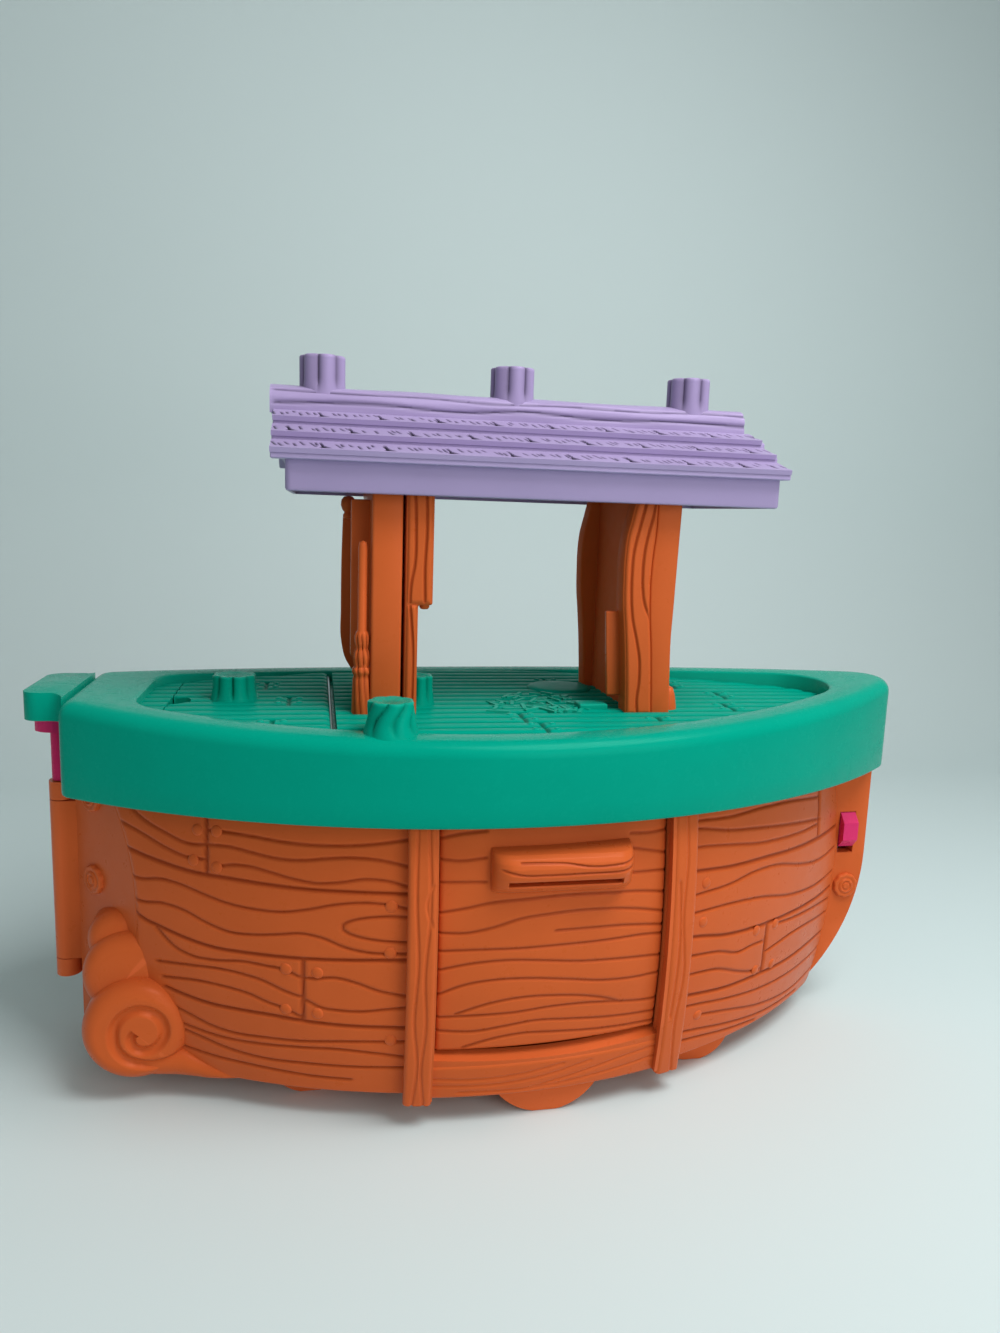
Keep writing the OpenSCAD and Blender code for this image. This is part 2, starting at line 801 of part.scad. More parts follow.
// Pocket for the catch, its spring and its cover
module catch_pocket() {
    box(
        [catch_x - pocket_w / 2, catch_x + pocket_w / 2],
        [-cut, parting_gap / 2 + cover_t + catch_base + catch_gap],
        [pocket_low, pocket_low + pocket_h]
    );
    rod_z(catch_x, catch_y, [spring_low, pocket_low + cut], spring_r + catch_gap / 2);
}
catch_y = parting_gap / 2 + cover_t + catch_base / 2 + catch_gap / 2;

// Rod on the ramp door's hinge axis, which lies along the chord of the opening
module door_rod(x, r) {
    translate([door_x, -door_axis_y, door_axis_z]) rotate(door_skew) rod_x(x, 0, 0, r);
}

// Opening for the ramp door above a sill that slopes outward
module door_opening() {
    intersection() {
        box([door_x0, door_x1], [-big, side_in], [hull_low + hull_wall, hull_top + cut]);
        translate([door_x, -door_axis_y, sill_top]) rotate([sill_slope, 0, door_skew])
            translate([-door_w, -big, 0]) cube([2 * door_w, 2 * big, big]);
    }
}

// Swinging half of the hull with the ramp's opening, sill and frame
module starboard_hull() {
    color(brown) difference() {
        union() {
            difference() {
                union() {
                    hull_half(hull_top);
                    difference() {
                        strip([door_x0, door_x1], [hull_low, sill_top], sill_h);
                        hull_solid(hull_wall, [hull_low + hull_wall, hull_top], cut);
                    }
                }
                door_opening();
            }
            for (x = [door_x0 - jamb_t, door_x1])
                intersection() {
                    hull_solid(0, [hull_low, hull_top], 0);
                    difference() {
                        box([x, x + jamb_t], [-big, side_in], [hull_low, hull_top]);
                        hull_barrel(jamb_d, [hull_low - cut, hull_top + cut]);
                    }
                }
            knuckle(knuckle_mid, -1);
        }
        hinge_bore();
        door_rod([-door_w / 2 - jamb_t, door_w / 2 + jamb_t], door_pin_r);
        box(
            [catch_x - tab_t / 2 - catch_gap, catch_x + tab_t / 2 + catch_gap],
            [-catch_face - cut, cut],
            [catch_z - tab_h / 2 - catch_stroke - catch_gap, catch_z + tab_h / 2 + catch_gap]
        );
    }
}

// Pin of the stern hinge, with the bent flange that sits under the tongue
module hinge_pin() {
    color(pink) {
        rod_z(hinge_x, 0, [knuckle_low, knuckle_top + cut], pin_r);
        rod_z(hinge_x, 0, [knuckle_top + knuckle_gap, tongue_low - flange_t + cut], leg_r);
        difference() {
            prism([tongue_low - flange_t, tongue_low]) {
                translate([hinge_x, -flange_w / 2]) square([stern_x - fit_gap - hinge_x, flange_w]);
                intersection() {
                    translate([hinge_x, 0]) circle(flange_w / 2);
                    translate([tongue_x + fit_gap, -flange_w]) square([hinge_in, 2 * flange_w]);
                }
            }
            rod_z(
                hinge_x,
                pin_screw_y,
                [tongue_low - flange_t - cut, tongue_low + cut],
                screw_r + screw_clear
            );
        }
    }
}

// Screw through the flange into the tongue
module pin_screw() {
    color(steel) screw(hinge_x, pin_screw_y, tongue_low - flange_t, flange_t + screw_bite);
}

// Ramp door with its hooded handle and the bosses of its hinge
module ramp_door() {
    x0 = door_x0 + door_gap;
    x1 = door_x1 - door_gap;
    color(brown) difference() {
        union() {
            intersection() {
                difference() {
                    hull_barrel(0, [door_axis_z - door_foot, hull_top - swing_gap]);
                    hull_barrel(door_t, [0, skirt_low]);
                }
                box([x0, x1], [-big, side_in], [0, skirt_low]);
            }
            for (x = [x0 - door_x + boss_back, x1 - door_x - boss_back - door_boss_len])
                door_rod([x, x + door_boss_len], door_boss_r);
            handle_hood();
        }
        door_rod([-door_w, door_w], door_pin_r + run_clear);
    }
}

// Rounded hood over a finger slot, standing on the door
module handle_hood() {
    z0 = door_axis_z + handle_up - handle_h / 2;
    z1 = z0 + handle_h;
    y0 = -hull_half_b - handle_out;
    difference() {
        intersection() {
            box([door_x - handle_w / 2, door_x + handle_w / 2], [y0, side_in], [z0, z1]);
            rod_x([door_x - big, door_x + big], y0 + hood_r, z0 + hood_up, hood_r);
        }
        box(
            [door_x - handle_w / 2 + handle_wall, door_x + handle_w / 2 - handle_wall],
            [y0 + handle_wall, side_in],
            [z0 + hood_foot, z1 - handle_wall * 2]
        );
        box(
            [door_x - handle_w / 2 + handle_wall, door_x + handle_w / 2 - handle_wall],
            [-big, side_in],
            [z0 + hood_foot, z0 + hood_foot + slot_h]
        );
        hull_barrel(door_t, [0, skirt_low]);
    }
}

// Two short pins that carry the ramp door
module door_pins() {
    color(steel) {
        door_rod([-door_w / 2 - jamb_t, door_boss_len - door_w / 2], door_pin_r);
        door_rod([door_w / 2 - door_boss_len, door_w / 2 + jamb_t], door_pin_r);
    }
}

// Deck moulding with skirt, rim, sunken floor, tongue and stumps
module deck() {
    top = rim_low + bow_rise + 2 * cut;
    color(green) difference() {
        union() {
            difference() {
                prism([skirt_low, top]) deck_plan(0, transom_x, bow_round, skirt_corner);
                above_sheer(0);
                difference() {
                    prism([skirt_low - cut, top]) deck_plan(
                        skirt_wall,
                        transom_x + skirt_wall,
                        bow_round - skirt_wall,
                        skirt_corner - skirt_wall
                    );
                    above_sheer(deck_wall);
                    prism([floor_under, top + cut]) deck_plan(
                        rim_w - deck_wall,
                        wide_x - floor_reach - deck_wall,
                        well_bow + deck_wall,
                        well_corner + deck_wall
                    );
                }
                prism([deck_z, top + cut]) deck_plan(rim_w, wide_x - floor_reach, well_bow, well_corner);
            }
            difference() {
                prism([floor_under - ledge_t, floor_under]) hatch_plan(-hatch_ledge);
                prism([floor_under - 2 * ledge_t, deck_z]) hatch_plan(hatch_ledge);
            }
            tongue();
            stump(aft_x + stump_fwd, -wall_half - stump_out, deck_z, stump_h);
            difference() {
                stump(step_x, -half_stump_y, deck_z, stump_h);
                box([-big, step_x + fit_gap], [-big, big], [deck_z, top]);
            }
            for (x = deck_screw_x)
                rod_z(x, deck_screw_y(x), [lug_z, floor_under + cut], boss_r);
        }
        prism([floor_under - hatch_under, top]) hatch_plan(0);
        hatch_rod(hatch_half + hatch_pin_in, hatch_pin_r);
        for (x = deck_screw_x)
            rod_z(x, deck_screw_y(x), [lug_z - cut, lug_z + screw_bite], screw_r);
        for (p = wall_screw_at)
            rod_z(p[0], p[1], [floor_under - cut, deck_z + cut], screw_r + screw_clear);
        rod_z(hinge_x, pin_screw_y, [tongue_low - cut, tongue_low + screw_bite], screw_r);
    }
}

// Flat tongue over the stern hinge
module tongue() {
    round_y = tongue_w / 2 - tongue_round;
    prism([tongue_low, tongue_low + tongue_t]) {
        for (y = [-round_y, round_y])
            translate([tongue_x + tongue_round, y]) circle(tongue_round);
        translate([tongue_x, -round_y]) square([tongue_reach - transom_reach + skirt_wall, 2 * round_y]);
        translate([tongue_x + tongue_round, -tongue_w / 2])
            square([tongue_reach - transom_reach + skirt_wall - tongue_round, tongue_w]);
    }
}

// Screws that hold the deck on the port half
module deck_screws() {
    color(steel) for (x = deck_screw_x)
        screw(x, deck_screw_y(x), lug_z - hull_wall, hull_wall + screw_bite);
}

// Rod on the hatch's hinge axis
module hatch_rod(half, r) {
    rod_y(hatch_axis_x, [-half, half], hatch_axis_z, r);
}

// Lift-up hatch with its stump and finger notch
module deck_hatch() {
    color(green) difference() {
        union() {
            intersection() {
                prism([deck_z - hatch_t, deck_z]) hatch_plan(hatch_gap);
                box([-big, hatch_axis_x], [-big, big], [0, big]);
            }
            hatch_rod(hatch_half - hatch_gap, hatch_t / 2);
            stump(hatch_x0 + hatch_stump_in, -hatch_stump_y, deck_z, hatch_stump_h);
        }
        hatch_rod(hatch_half, hatch_pin_r + run_clear);
        rod_z(hatch_x0 + notch_r / 4, -notch_y, [0, big], notch_r);
    }
}

// Pin of the hatch's hinge
module hatch_pin() {
    color(steel) hatch_rod(hatch_half + hatch_pin_in, hatch_pin_r);
}

// Chamfered tab on a base that slides in the catch's pocket
module bow_catch() {
    base_y = parting_gap / 2 + cover_t + catch_gap / 2;
    color(pink) difference() {
        union() {
            box(
                [catch_x - tab_t / 2 - catch_lap, catch_x + tab_t / 2 + catch_lap],
                [base_y, base_y + catch_base],
                [catch_z - tab_h / 2 - catch_lap, catch_z + tab_h / 2 + catch_lap]
            );
            end_view([catch_x - tab_t / 2, catch_x + tab_t / 2])
                polygon([
                    [base_y + cut, catch_z - tab_h / 2],
                    [-catch_face, catch_z - tab_h / 2],
                    [-catch_face - tab_out, catch_z - tab_front / 2],
                    [-catch_face - tab_out, catch_z + tab_front / 2],
                    [-catch_face, catch_z + tab_h / 2],
                    [base_y + cut, catch_z + tab_h / 2]
                ]);
        }
        rod_z(catch_x, catch_y, [0, spring_top], spring_r + catch_gap / 2);
    }
}

// Return spring under the catch
module catch_spring() {
    color(steel) difference() {
        rod_z(catch_x, catch_y, [spring_low, spring_top], spring_r);
        rod_z(catch_x, catch_y, [0, big], spring_r / 2);
    }
}

// Snap-in cover that holds the catch in its pocket
module catch_cover() {
    color(brown) difference() {
        box(
            [catch_x - pocket_w / 2 + catch_gap / 4, catch_x + pocket_w / 2 - catch_gap / 4],
            [parting_gap / 2, parting_gap / 2 + cover_t],
            [pocket_low + catch_gap / 4, pocket_low + pocket_h - catch_gap / 4]
        );
        box(
            [catch_x - tab_t / 2 - catch_gap, catch_x + tab_t / 2 + catch_gap],
            [-cut, big],
            [catch_z - tab_h / 2 - catch_stroke - catch_gap, catch_z + tab_h / 2 + catch_gap]
        );
    }
}

// Wall moulding: a tray whose open side faces +X or -X
module board(x, open, h) {
    inner = open > 0 ? [x[0] + board_wall, x[1] + cut] : [x[0] - cut, x[1] - board_wall];
    difference() {
        box(x, [-wall_half, wall_half], [deck_z, deck_z + h]);
        box(
            inner,
            [board_wall - wall_half, wall_half - board_wall],
            [deck_z + board_wall, deck_z + h - board_wall]
        );
    }
}

// Places of the screws under the cabin walls
wall_screw_at = [
    for (x = [aft_x + board_t / 2, fore_x - board_t / 2])
        for (y = [-wall_half / 2, wall_half / 2])
            [x, y]
];

// Outer moulding of the aft wall, with the broom, a knob and an upright board on its face
module aft_wall_outer() {
    color(brown) difference() {
        union() {
            board([aft_x, aft_x + board_t], 1, wall_h);
            for (p = wall_screw_at)
                if (p[0] < 0) rod_z(p[0], p[1], [deck_z, deck_z + screw_bite + board_wall], boss_r);
            rod_z(aft_x, broom_in - wall_half, [deck_z + broom_h / 2, deck_z + stick_top], stick_r);
            translate([aft_x, broom_in - wall_half, deck_z + fit_gap])
                cylinder(r1 = broom_r, r2 = neck_r, h = broom_h);
            rod_z(aft_x, knob_y, [frame_low - fit_gap - knob_h, frame_low - fit_gap], knob_r);
            box(
                [aft_x - wing_d, aft_x + cut],
                [wall_half - wing_t, wall_half],
                [deck_z + wing_low, frame_low - fit_gap - knob_h]
            );
        }
        for (p = wall_screw_at) rod_z(p[0], p[1], [deck_z - cut, deck_z + screw_bite], screw_r);
    }
}

// Inner moulding of the aft wall, stepped back at its foot, with pegs under the step
module aft_wall_inner() {
    x0 = aft_x + board_t + aft_seam;
    x1 = x0 + inner_t;
    color(brown) difference() {
        union() {
            board([x0, x1], -1, wall_h);
            box([x0, x1 - step_d], [-wall_half, wall_half], [deck_z, deck_z + step_h + board_wall]);
        }
        box([x1 - step_d, x1 + cut], [-big, big], [deck_z - cut, deck_z + step_h]);
    }
    color(brown) for (y = [-1, 1])
        rod_z(
            x1 - step_d / 2,
            y * (wall_half - step_d),
            [deck_z + step_h - peg_h, deck_z + step_h + board_wall],
            peg_r
        );
}

// Inner moulding of the fore wall: a recess between two bulged posts, one with a low rail
module fore_wall_inner() {
    x1 = fore_x - board_t - fore_seam;
    x0 = x1 - board_t;
    post_y = wall_half - post_t;
    recess_x = x1 - 2 * board_wall;
    belly_r = (belly_half * belly_half + belly_out * belly_out) / (2 * belly_out);
    color(brown) difference() {
        union() {
            board([x0, x1], 1, wall_h);
            intersection() {
                box([x0 - belly_out, x0 + cut], [-wall_half, wall_half], [deck_z, deck_z + wall_h]);
                rod_y(x0 - belly_out + belly_r, [-wall_half, wall_half], deck_z + belly_up, belly_r, $fn = arc_fn);
            }
            box(
                [x0, recess_x + board_wall],
                [-post_y - board_wall, post_y + board_wall],
                [deck_z, deck_z + wall_h]
            );
        }
        box(
            [x0 - belly_out - cut, recess_x],
            [-post_y, post_y],
            [deck_z - cut, deck_z + wall_h - board_wall]
        );
    }
    color(brown) box(
        [x0 - rail_d, x0 + cut],
        [-post_y - board_wall, -post_y],
        [deck_z + rail_low, deck_z + rail_h]
    );
}

// Outer moulding of the fore wall
module fore_wall_outer() {
    color(brown) difference() {
        union() {
            board([fore_x - board_t, fore_x], -1, wall_h);
            for (p = wall_screw_at)
                if (p[0] > 0) rod_z(p[0], p[1], [deck_z, deck_z + screw_bite + board_wall], boss_r);
        }
        for (p = wall_screw_at) rod_z(p[0], p[1], [deck_z - cut, deck_z + screw_bite], screw_r);
    }
}

// Screws up through the floor into the cabin walls
module wall_screws() {
    color(steel) for (p = wall_screw_at) screw(p[0], p[1], floor_under, deck_wall + screw_bite);
}

// End view of one roof slope: shingle courses that step down to the eave
function slope_points() = [
    for (i = [0 : courses - 1])
        each [
            [ridge_half + i * course_run, roof_top - i * (course_fall + course_t)],
            [ridge_half + (i + 1) * course_run, roof_top - i * (course_fall + course_t) - course_fall]
        ]
];

// Roof cover with its ridge beam, three stumps and the bosses for its frame
module roof_cover() {
    under = [[frame_half - roof_wall, eave_z], [ridge_half, roof_top - roof_wall]];
    half = concat(
        [[0, ridge_z], [ridge_half - ridge_bevel, ridge_z], [ridge_half, ridge_z - ridge_bevel]],
        slope_points(),
        [[eave_half, eave_z]],
        under
    );
    outline = concat(half, [for (i = [len(half) - 1 : -1 : 1]) [-half[i][0], half[i][1]]]);
    boss_top = roof_top - (roof_screw_half - ridge_half) * (course_fall + course_t) / course_run;
    color(purple) difference() {
        union() {
            end_view([roof_x - roof_len / 2, roof_x + roof_len / 2]) polygon(outline);
            for (x = [gable_in - roof_len / 2, roof_len / 2 - gable_in - roof_wall])
                end_view([roof_x + x, roof_x + x + roof_wall])
                    polygon(concat(under, [for (p = [under[1], under[0]]) [-p[0], p[1]]]));
            for (i = [-1 : 1])
                stump(roof_x + i * ridge_step - ridge_aft, 0, ridge_z, ridge_stump_h);
            for (p = roof_screw_at)
                rod_z(p[0], p[1], [frame_top + roof_wall, boss_top - roof_wall], boss_r);
        }
        for (p = roof_screw_at)
            rod_z(p[0], p[1], [frame_top, frame_top + roof_wall + screw_bite], screw_r);
        box(
            [roof_x + roof_len / 2 - ridge_back, roof_x + roof_len / 2 + cut],
            [-ridge_half - cut, ridge_half + cut],
            [roof_top, ridge_z + cut]
        );
    }
}

// Frame under the eaves, a tray that drops over the cabin walls
module roof_frame() {
    inside_x = [frame_x0 + roof_wall, frame_x1 - roof_wall];
    inside = [roof_wall - frame_half, frame_half - roof_wall];
    color(purple) difference() {
        union() {
            difference() {
                box([frame_x0, frame_x1], [-frame_half, frame_half], [frame_low, eave_z]);
                box(inside_x, inside, [frame_low - cut, frame_top]);
                box(inside_x, inside, [frame_top + roof_wall, eave_z + cut]);
            }
            roof_guides();
        }
        for (p = roof_screw_at)
            rod_z(p[0], p[1], [frame_top - cut, eave_z], screw_r + screw_clear);
    }
}

// Ribs under the tray that hold it square on the tops of the walls
module roof_guides() {
    z = [frame_low + guide_up, frame_top + cut];
    for (x = [aft_x, fore_x - guide_len], y = [-1, 1]) {
        y0 = y * (wall_half + fit_gap);
        y1 = y * (frame_half - roof_wall + cut);
        box([x, x + guide_len], [min(y0, y1), max(y0, y1)], z);
    }
    box([aft_x - fit_gap - roof_wall, aft_x - fit_gap], [-guide_len, guide_len], z);
    box([fore_x + fit_gap, fore_x + fit_gap + roof_wall], [-guide_len, guide_len], z);
}

// Screws that hold the frame to the cover's bosses
module roof_screws() {
    color(steel) for (p = roof_screw_at) screw(p[0], p[1], frame_top, roof_wall + screw_bite);
}

port_hull();
starboard_hull();
hinge_pin();
pin_screw();
ramp_door();
door_pins();
deck();
deck_screws();
deck_hatch();
hatch_pin();
bow_catch();
catch_spring();
catch_cover();
aft_wall_outer();
aft_wall_inner();
fore_wall_inner();
fore_wall_outer();
wall_screws();
roof_cover();
roof_frame();
roof_screws();
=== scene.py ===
"""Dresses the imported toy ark: carved planking, rounded deck, shingled roof and moulded plastic."""
import json
import math

import bmesh
import bpy
import numpy as np
from bpy.props import FloatProperty, FloatVectorProperty, PointerProperty
from mathutils import Matrix, Vector


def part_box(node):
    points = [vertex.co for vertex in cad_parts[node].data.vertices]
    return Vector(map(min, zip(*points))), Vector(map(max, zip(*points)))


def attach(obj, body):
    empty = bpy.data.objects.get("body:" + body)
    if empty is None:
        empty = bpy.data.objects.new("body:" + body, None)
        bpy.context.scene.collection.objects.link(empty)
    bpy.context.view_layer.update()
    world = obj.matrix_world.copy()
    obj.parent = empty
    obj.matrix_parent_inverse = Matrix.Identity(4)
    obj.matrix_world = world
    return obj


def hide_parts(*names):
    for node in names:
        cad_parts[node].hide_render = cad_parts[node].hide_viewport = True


bl_info = {
    "name": "Toy ark",
    "version": (1, 0, 0),
    "blender": (4, 5, 0),
    "location": "View3D > Sidebar > Ark",
    "description": "Builds the visible pieces of a moulded plastic toy ark around its solids",
    "category": "Object",
}

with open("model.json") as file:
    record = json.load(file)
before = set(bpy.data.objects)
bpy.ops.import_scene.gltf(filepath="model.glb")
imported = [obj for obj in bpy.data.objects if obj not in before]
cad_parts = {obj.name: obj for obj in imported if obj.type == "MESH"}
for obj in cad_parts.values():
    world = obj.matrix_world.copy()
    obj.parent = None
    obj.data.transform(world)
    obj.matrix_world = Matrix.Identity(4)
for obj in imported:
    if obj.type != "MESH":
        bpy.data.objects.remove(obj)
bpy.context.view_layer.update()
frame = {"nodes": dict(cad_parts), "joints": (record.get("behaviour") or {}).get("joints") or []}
MM = 0.001

# Plan arcs, heights and steps of the solids that the pieces follow, in millimetres
WIDE_X = -7.4
HULL_R, HULL_C = 264.38, 182.38
BULGE_R, BULGE_Z = 350.0, 80.0
HULL_LOW, HULL_TOP, SKIRT_LOW = 12.0, 129.4, 130.0
DECK_R, DECK_C, DECK_BOW = 308.12, 217.42, 24.0
TRANSOM_X, TONGUE_X, STERN_X = -183.0, -200.0, -184.7
DECK_Z, DECK_WALL, RIM_W = 162.5, 3.0, 17.0
RIM_LOW, SHEER_X, SHEER_R = 163.5, -19.4, 2193.5
FLOOR_AFT, WELL_BOW, WELL_CORNER = -155.4, 32.0, 22.0
HATCH_X = (-144.4, -74.4)
DOOR_X = (-36.15, 61.35)
RIB_W, RIB_H, SILL_H = 10.5, 6.0, 3.0
PLATE_RUN, PLATE_OUT, PLATE_IN = 24.0, 26.0, 5.0
FOREFOOT_X, FOREFOOT_Z, FOREFOOT_R = 96.4, 82.0, 100.0
EAVE_Z, ROOF_TOP, RIDGE_Z, STUMP_TOP = 266.0, 287.0, 298.0, 311.5
RIDGE_HALF, EAVE_HALF, COURSES, COURSE_FALL = 11.0, 50.75, 3, 4.2
COURSE_RUN, COURSE_DROP = (EAVE_HALF - RIDGE_HALF) / COURSES, (ROOF_TOP - EAVE_Z) / COURSES
TRAY_HALF, ROOF_WALL, GABLE_IN = 46.8, 2.5, 4.0

# Plank ridges of the deck's floor, then the planking's gap at the end plates and half breadth at the stem
RIDGE_PITCH, RIDGE_UP, EDGE_GAP, STEM_HALF = 9.2, 1.4, 0.4, 4.4
# Side of each hull half with the name and the body of that half
HALVES = ((-1, "starboard", "swing_hull"), (1, "port", "ark"))
# Side of the cabin and the roof with its name
SIDES = ((-1, "near"), (1, "far"))
# Patches of tone, scuffs and orange peel of the plastic in millimetres, then the strength of the peel
TONE_MM, SCUFF_MM, PEEL_MM, PEEL_DEEP, PEEL_SHARE = 38.0, 6.0, 0.9, 0.2, 0.06
ABS_IOR = 1.53
# Mottle of the plated steel in millimetres
FLECK_MM = 0.6

# Grain lines as (along, up) points on the planking: narrow veins and deeper plank seams
AFT_VEINS = [
    [(-158, 126), (-153, 122), (-142, 117), (-132, 114), (-125, 114.5)],
    [(-161, 118), (-152, 115), (-142, 111), (-133, 108.5), (-125, 108.5)],
    [(-161, 98), (-154, 96), (-143.5, 97.5), (-135.5, 96.7), (-125.5, 94), (-116, 91.8), (-104, 90.8),
     (-95, 91), (-86, 92.7), (-75.5, 95.4), (-65, 96.8), (-56, 96.6), (-46, 95)],
    [(-161, 89.5), (-153, 86.4), (-143.5, 87.4), (-134.5, 86.2), (-125.5, 82.7), (-116, 80.1),
     (-106, 80.3), (-97, 81.5), (-87.5, 82.8), (-80, 81.7), (-71, 78.3), (-63, 76.7), (-46, 76.7)],
    [(-146, 76.5), (-139, 70), (-132, 67.3), (-122, 67), (-110.5, 68.3), (-102, 67.7), (-95, 67),
     (-87.5, 64)],
    [(-146, 61.5), (-130, 63), (-120, 63.5), (-110.5, 62.7), (-102, 60.8), (-94, 57.5), (-87.5, 55.6)],
    [(-144, 55), (-128, 56.5), (-118.5, 56), (-108.5, 54.4), (-101, 51.7), (-95, 50), (-87.5, 46.6)],
    [(-142, 43), (-133, 40), (-125, 37), (-115, 35.2), (-102, 35.2), (-87.5, 35.5), (-73, 36.7), (-46, 38)],
    [(-142, 36), (-132.5, 34), (-119, 32), (-105, 31.8), (-89.5, 32.4), (-73, 33), (-59, 32), (-46, 30.6)],
    [(-140, 33), (-131, 30.8), (-117, 27), (-102, 25), (-87.5, 25), (-68, 25), (-46, 25.6)],
    [(-136, 23.5), (-125, 22), (-111, 21), (-97.5, 20), (-83, 19), (-68, 18.7)],
    [(-124.5, 120.5), (-116, 120.5), (-106, 120), (-95, 119), (-83, 118.7), (-69, 119.3), (-57, 120.7),
     (-46, 122.6)],
    [(-124.5, 114.7), (-114, 114.8), (-106, 113.5), (-97, 112.3), (-87.5, 112.4), (-78.5, 113.7),
     (-69, 114.6), (-60, 114.3), (-46, 111.8)],
    [(-121, 106), (-116, 107.6), (-108, 108), (-100.5, 106.7), (-91, 104.7), (-82, 103.7), (-73.5, 104.5),
     (-63.5, 106.3), (-56, 106), (-46, 103.8)],
    [(-86, 64.2), (-82, 64.4), (-74.5, 65.2), (-67, 63.6), (-57.5, 60.3), (-46, 58.4)],
    [(-86, 54.6), (-81, 52), (-73.5, 51), (-64, 51), (-54.5, 52.4), (-46, 53.5)],
]
AFT_SEAMS = [
    [(-161, 108.5), (-153, 106.4), (-142.5, 104.4), (-131.5, 102.8), (-116, 102.2), (-101.5, 101.5),
     (-87.5, 101), (-69, 101), (-46, 101)],
    [(-160.5, 86), (-153.5, 80), (-144, 77), (-134, 74.4), (-122, 72.4), (-110, 72.2), (-97, 72.2),
     (-46, 74)],
    [(-143, 50.5), (-134.5, 48.6), (-124.5, 47), (-113, 46.5), (-99, 46), (-87.5, 45), (-73, 44.3),
     (-46, 44.3)],
]
AFT_ENDS = [(-124.7, 102.8, 129), (-87.1, 44.9, 72.3)]
AFT_KNOT = (-50.0, 86.6, 22.0, 5.2)
AFT_NAILS = [
    (-128.3, 120), (-120.6, 120.4), (-130, 107.5), (-120.6, 106), (-53.4, 96), (-53.6, 77),
    (-93.7, 67.4), (-81.5, 67), (-93.8, 49.7), (-81.4, 49), (-52.8, 38.6)]
MID_VEINS = [
    [(-37, 122.6), (-27.5, 124.7), (-17, 125.8)], [(43.5, 121.4), (54.5, 120.8), (62.5, 121.7)],
    [(-37, 115.2), (-27.5, 114.2), (-17, 115.2)], [(-37, 105.7), (-17, 105.6)],
    [(44, 115.3), (62.5, 111)], [(44, 105), (62.5, 104.1)],
    [(-37, 93.1), (-23.5, 95.3), (-15.5, 97), (-1, 98), (14, 98.6), (34.5, 97.8), (48, 96.7), (62.5, 94.5)],
    [(-37, 85.3), (-23.5, 85), (-14, 86.8), (-3, 89.9), (9, 91.2), (24.5, 91.7), (43, 90), (62.5, 86)],
    [(12, 84), (24.5, 83.8), (41, 83), (62.5, 80.3)],
    [(-37, 77.6), (-19.5, 77.8), (-3, 77.6), (14.5, 77.7), (35.5, 77.5), (49.5, 77.5), (62.5, 76.5)],
    [(-37, 69.2), (-22, 72), (-7.5, 72.8), (7.5, 71.6), (23, 69.7), (39, 68.5), (53, 67.5), (62.5, 66.8)],
    [(-37, 58.2), (-24, 63), (-12, 64.6), (3, 64.2), (18, 62.3), (34, 59.7), (48, 58.7), (62.5, 59)],
    [(-27.5, 50), (-15, 54), (-1.5, 56), (13.5, 55.5), (26.5, 53.6), (36, 51), (42.5, 48.2)],
    [(-37, 48.7), (-18.5, 49), (-4, 49.3), (11, 50.5), (27, 50.2), (43.5, 48.2), (55, 46.7), (62.5, 46.7)],
    [(-37, 42.8), (-19.5, 41.7), (-7, 43.3), (5, 44.7), (19.5, 43.7), (35.5, 42), (52.5, 40.7), (62.5, 40.3)],
    [(-24, 34.3), (-13, 37.5), (-1, 39.2), (14.5, 38.4), (30.5, 37), (47.5, 36), (62.5, 35.5)],
]
FORE_VEINS = [
    [(70, 123), (80, 122.5), (93.5, 121.8), (111.5, 122.4), (130, 121.7), (156, 118)],
    [(70, 120), (79.5, 118.8), (93.5, 116), (108, 114.2), (124, 112), (140, 109.7), (158, 106.8)],
    [(70, 111.5), (80.5, 111), (97, 109), (112, 106.7), (124, 105.7), (142.5, 104.7), (157, 104.6)],
    [(70, 90), (80, 90.7), (95, 91.7), (109, 94), (125, 93.6), (141.5, 89.3), (155, 86.3), (184, 86.5)],
    [(70, 82), (80.5, 82.5), (95.5, 82.6), (114, 81), (136, 76), (154, 73.5), (182, 73.5)],
    [(70, 63), (81, 62.3), (91, 61.2), (104, 57.5), (111.5, 58.3), (119, 58.3)],
    [(127, 64.3), (138, 63), (160, 61), (180, 58)],
    [(70, 53.8), (81, 53.6), (92.5, 52.3), (103.5, 48), (112.5, 44.8), (121, 43.4)],
    [(122, 52), (140, 54.5), (180, 51)],
    [(70, 38.5), (82.5, 37.5), (100.5, 35), (122.5, 32.4), (146, 31.3), (178, 32)],
    [(83.5, 31.8), (99.5, 28.8), (122.5, 23), (147, 19.5), (172, 21)],
    [(70, 25.5), (82, 24.3), (101, 21), (126, 17), (155, 15.4)],
    [(70, 20.5), (80.5, 20), (102, 17.2), (122, 14.6)],
]
FORE_SEAMS = [
    [(70, 101.2), (79.5, 100.7), (96, 99.6), (116.5, 99.2), (138, 98), (184, 97)],
    [(70, 72), (80, 71), (93.5, 68.5), (112, 67), (133, 66.3), (159, 65.4), (182, 65)],
    [(70, 44.2), (82, 43), (97.5, 41.5), (116.5, 41.2), (138.5, 40.6), (165.5, 41.2), (182, 39.5)],
]
FORE_ENDS = [(120.9, 41.5, 67), (157, 98.4, 129)]
FORE_NAILS = [(81.3, 95), (81, 77.6), (113.8, 65), (126.8, 64.3), (116.2, 44.4), (127.9, 43.5), (83.4, 31.8)]


def linear(hex_code):
    """Linear RGBA for an sRGB hex colour."""
    parts = [int(hex_code[i:i + 2], 16) / 255 for i in (1, 3, 5)]
    return tuple(c / 12.92 if c <= 0.04045 else ((c + 0.055) / 1.055) ** 2.4 for c in parts) + (1.0,)


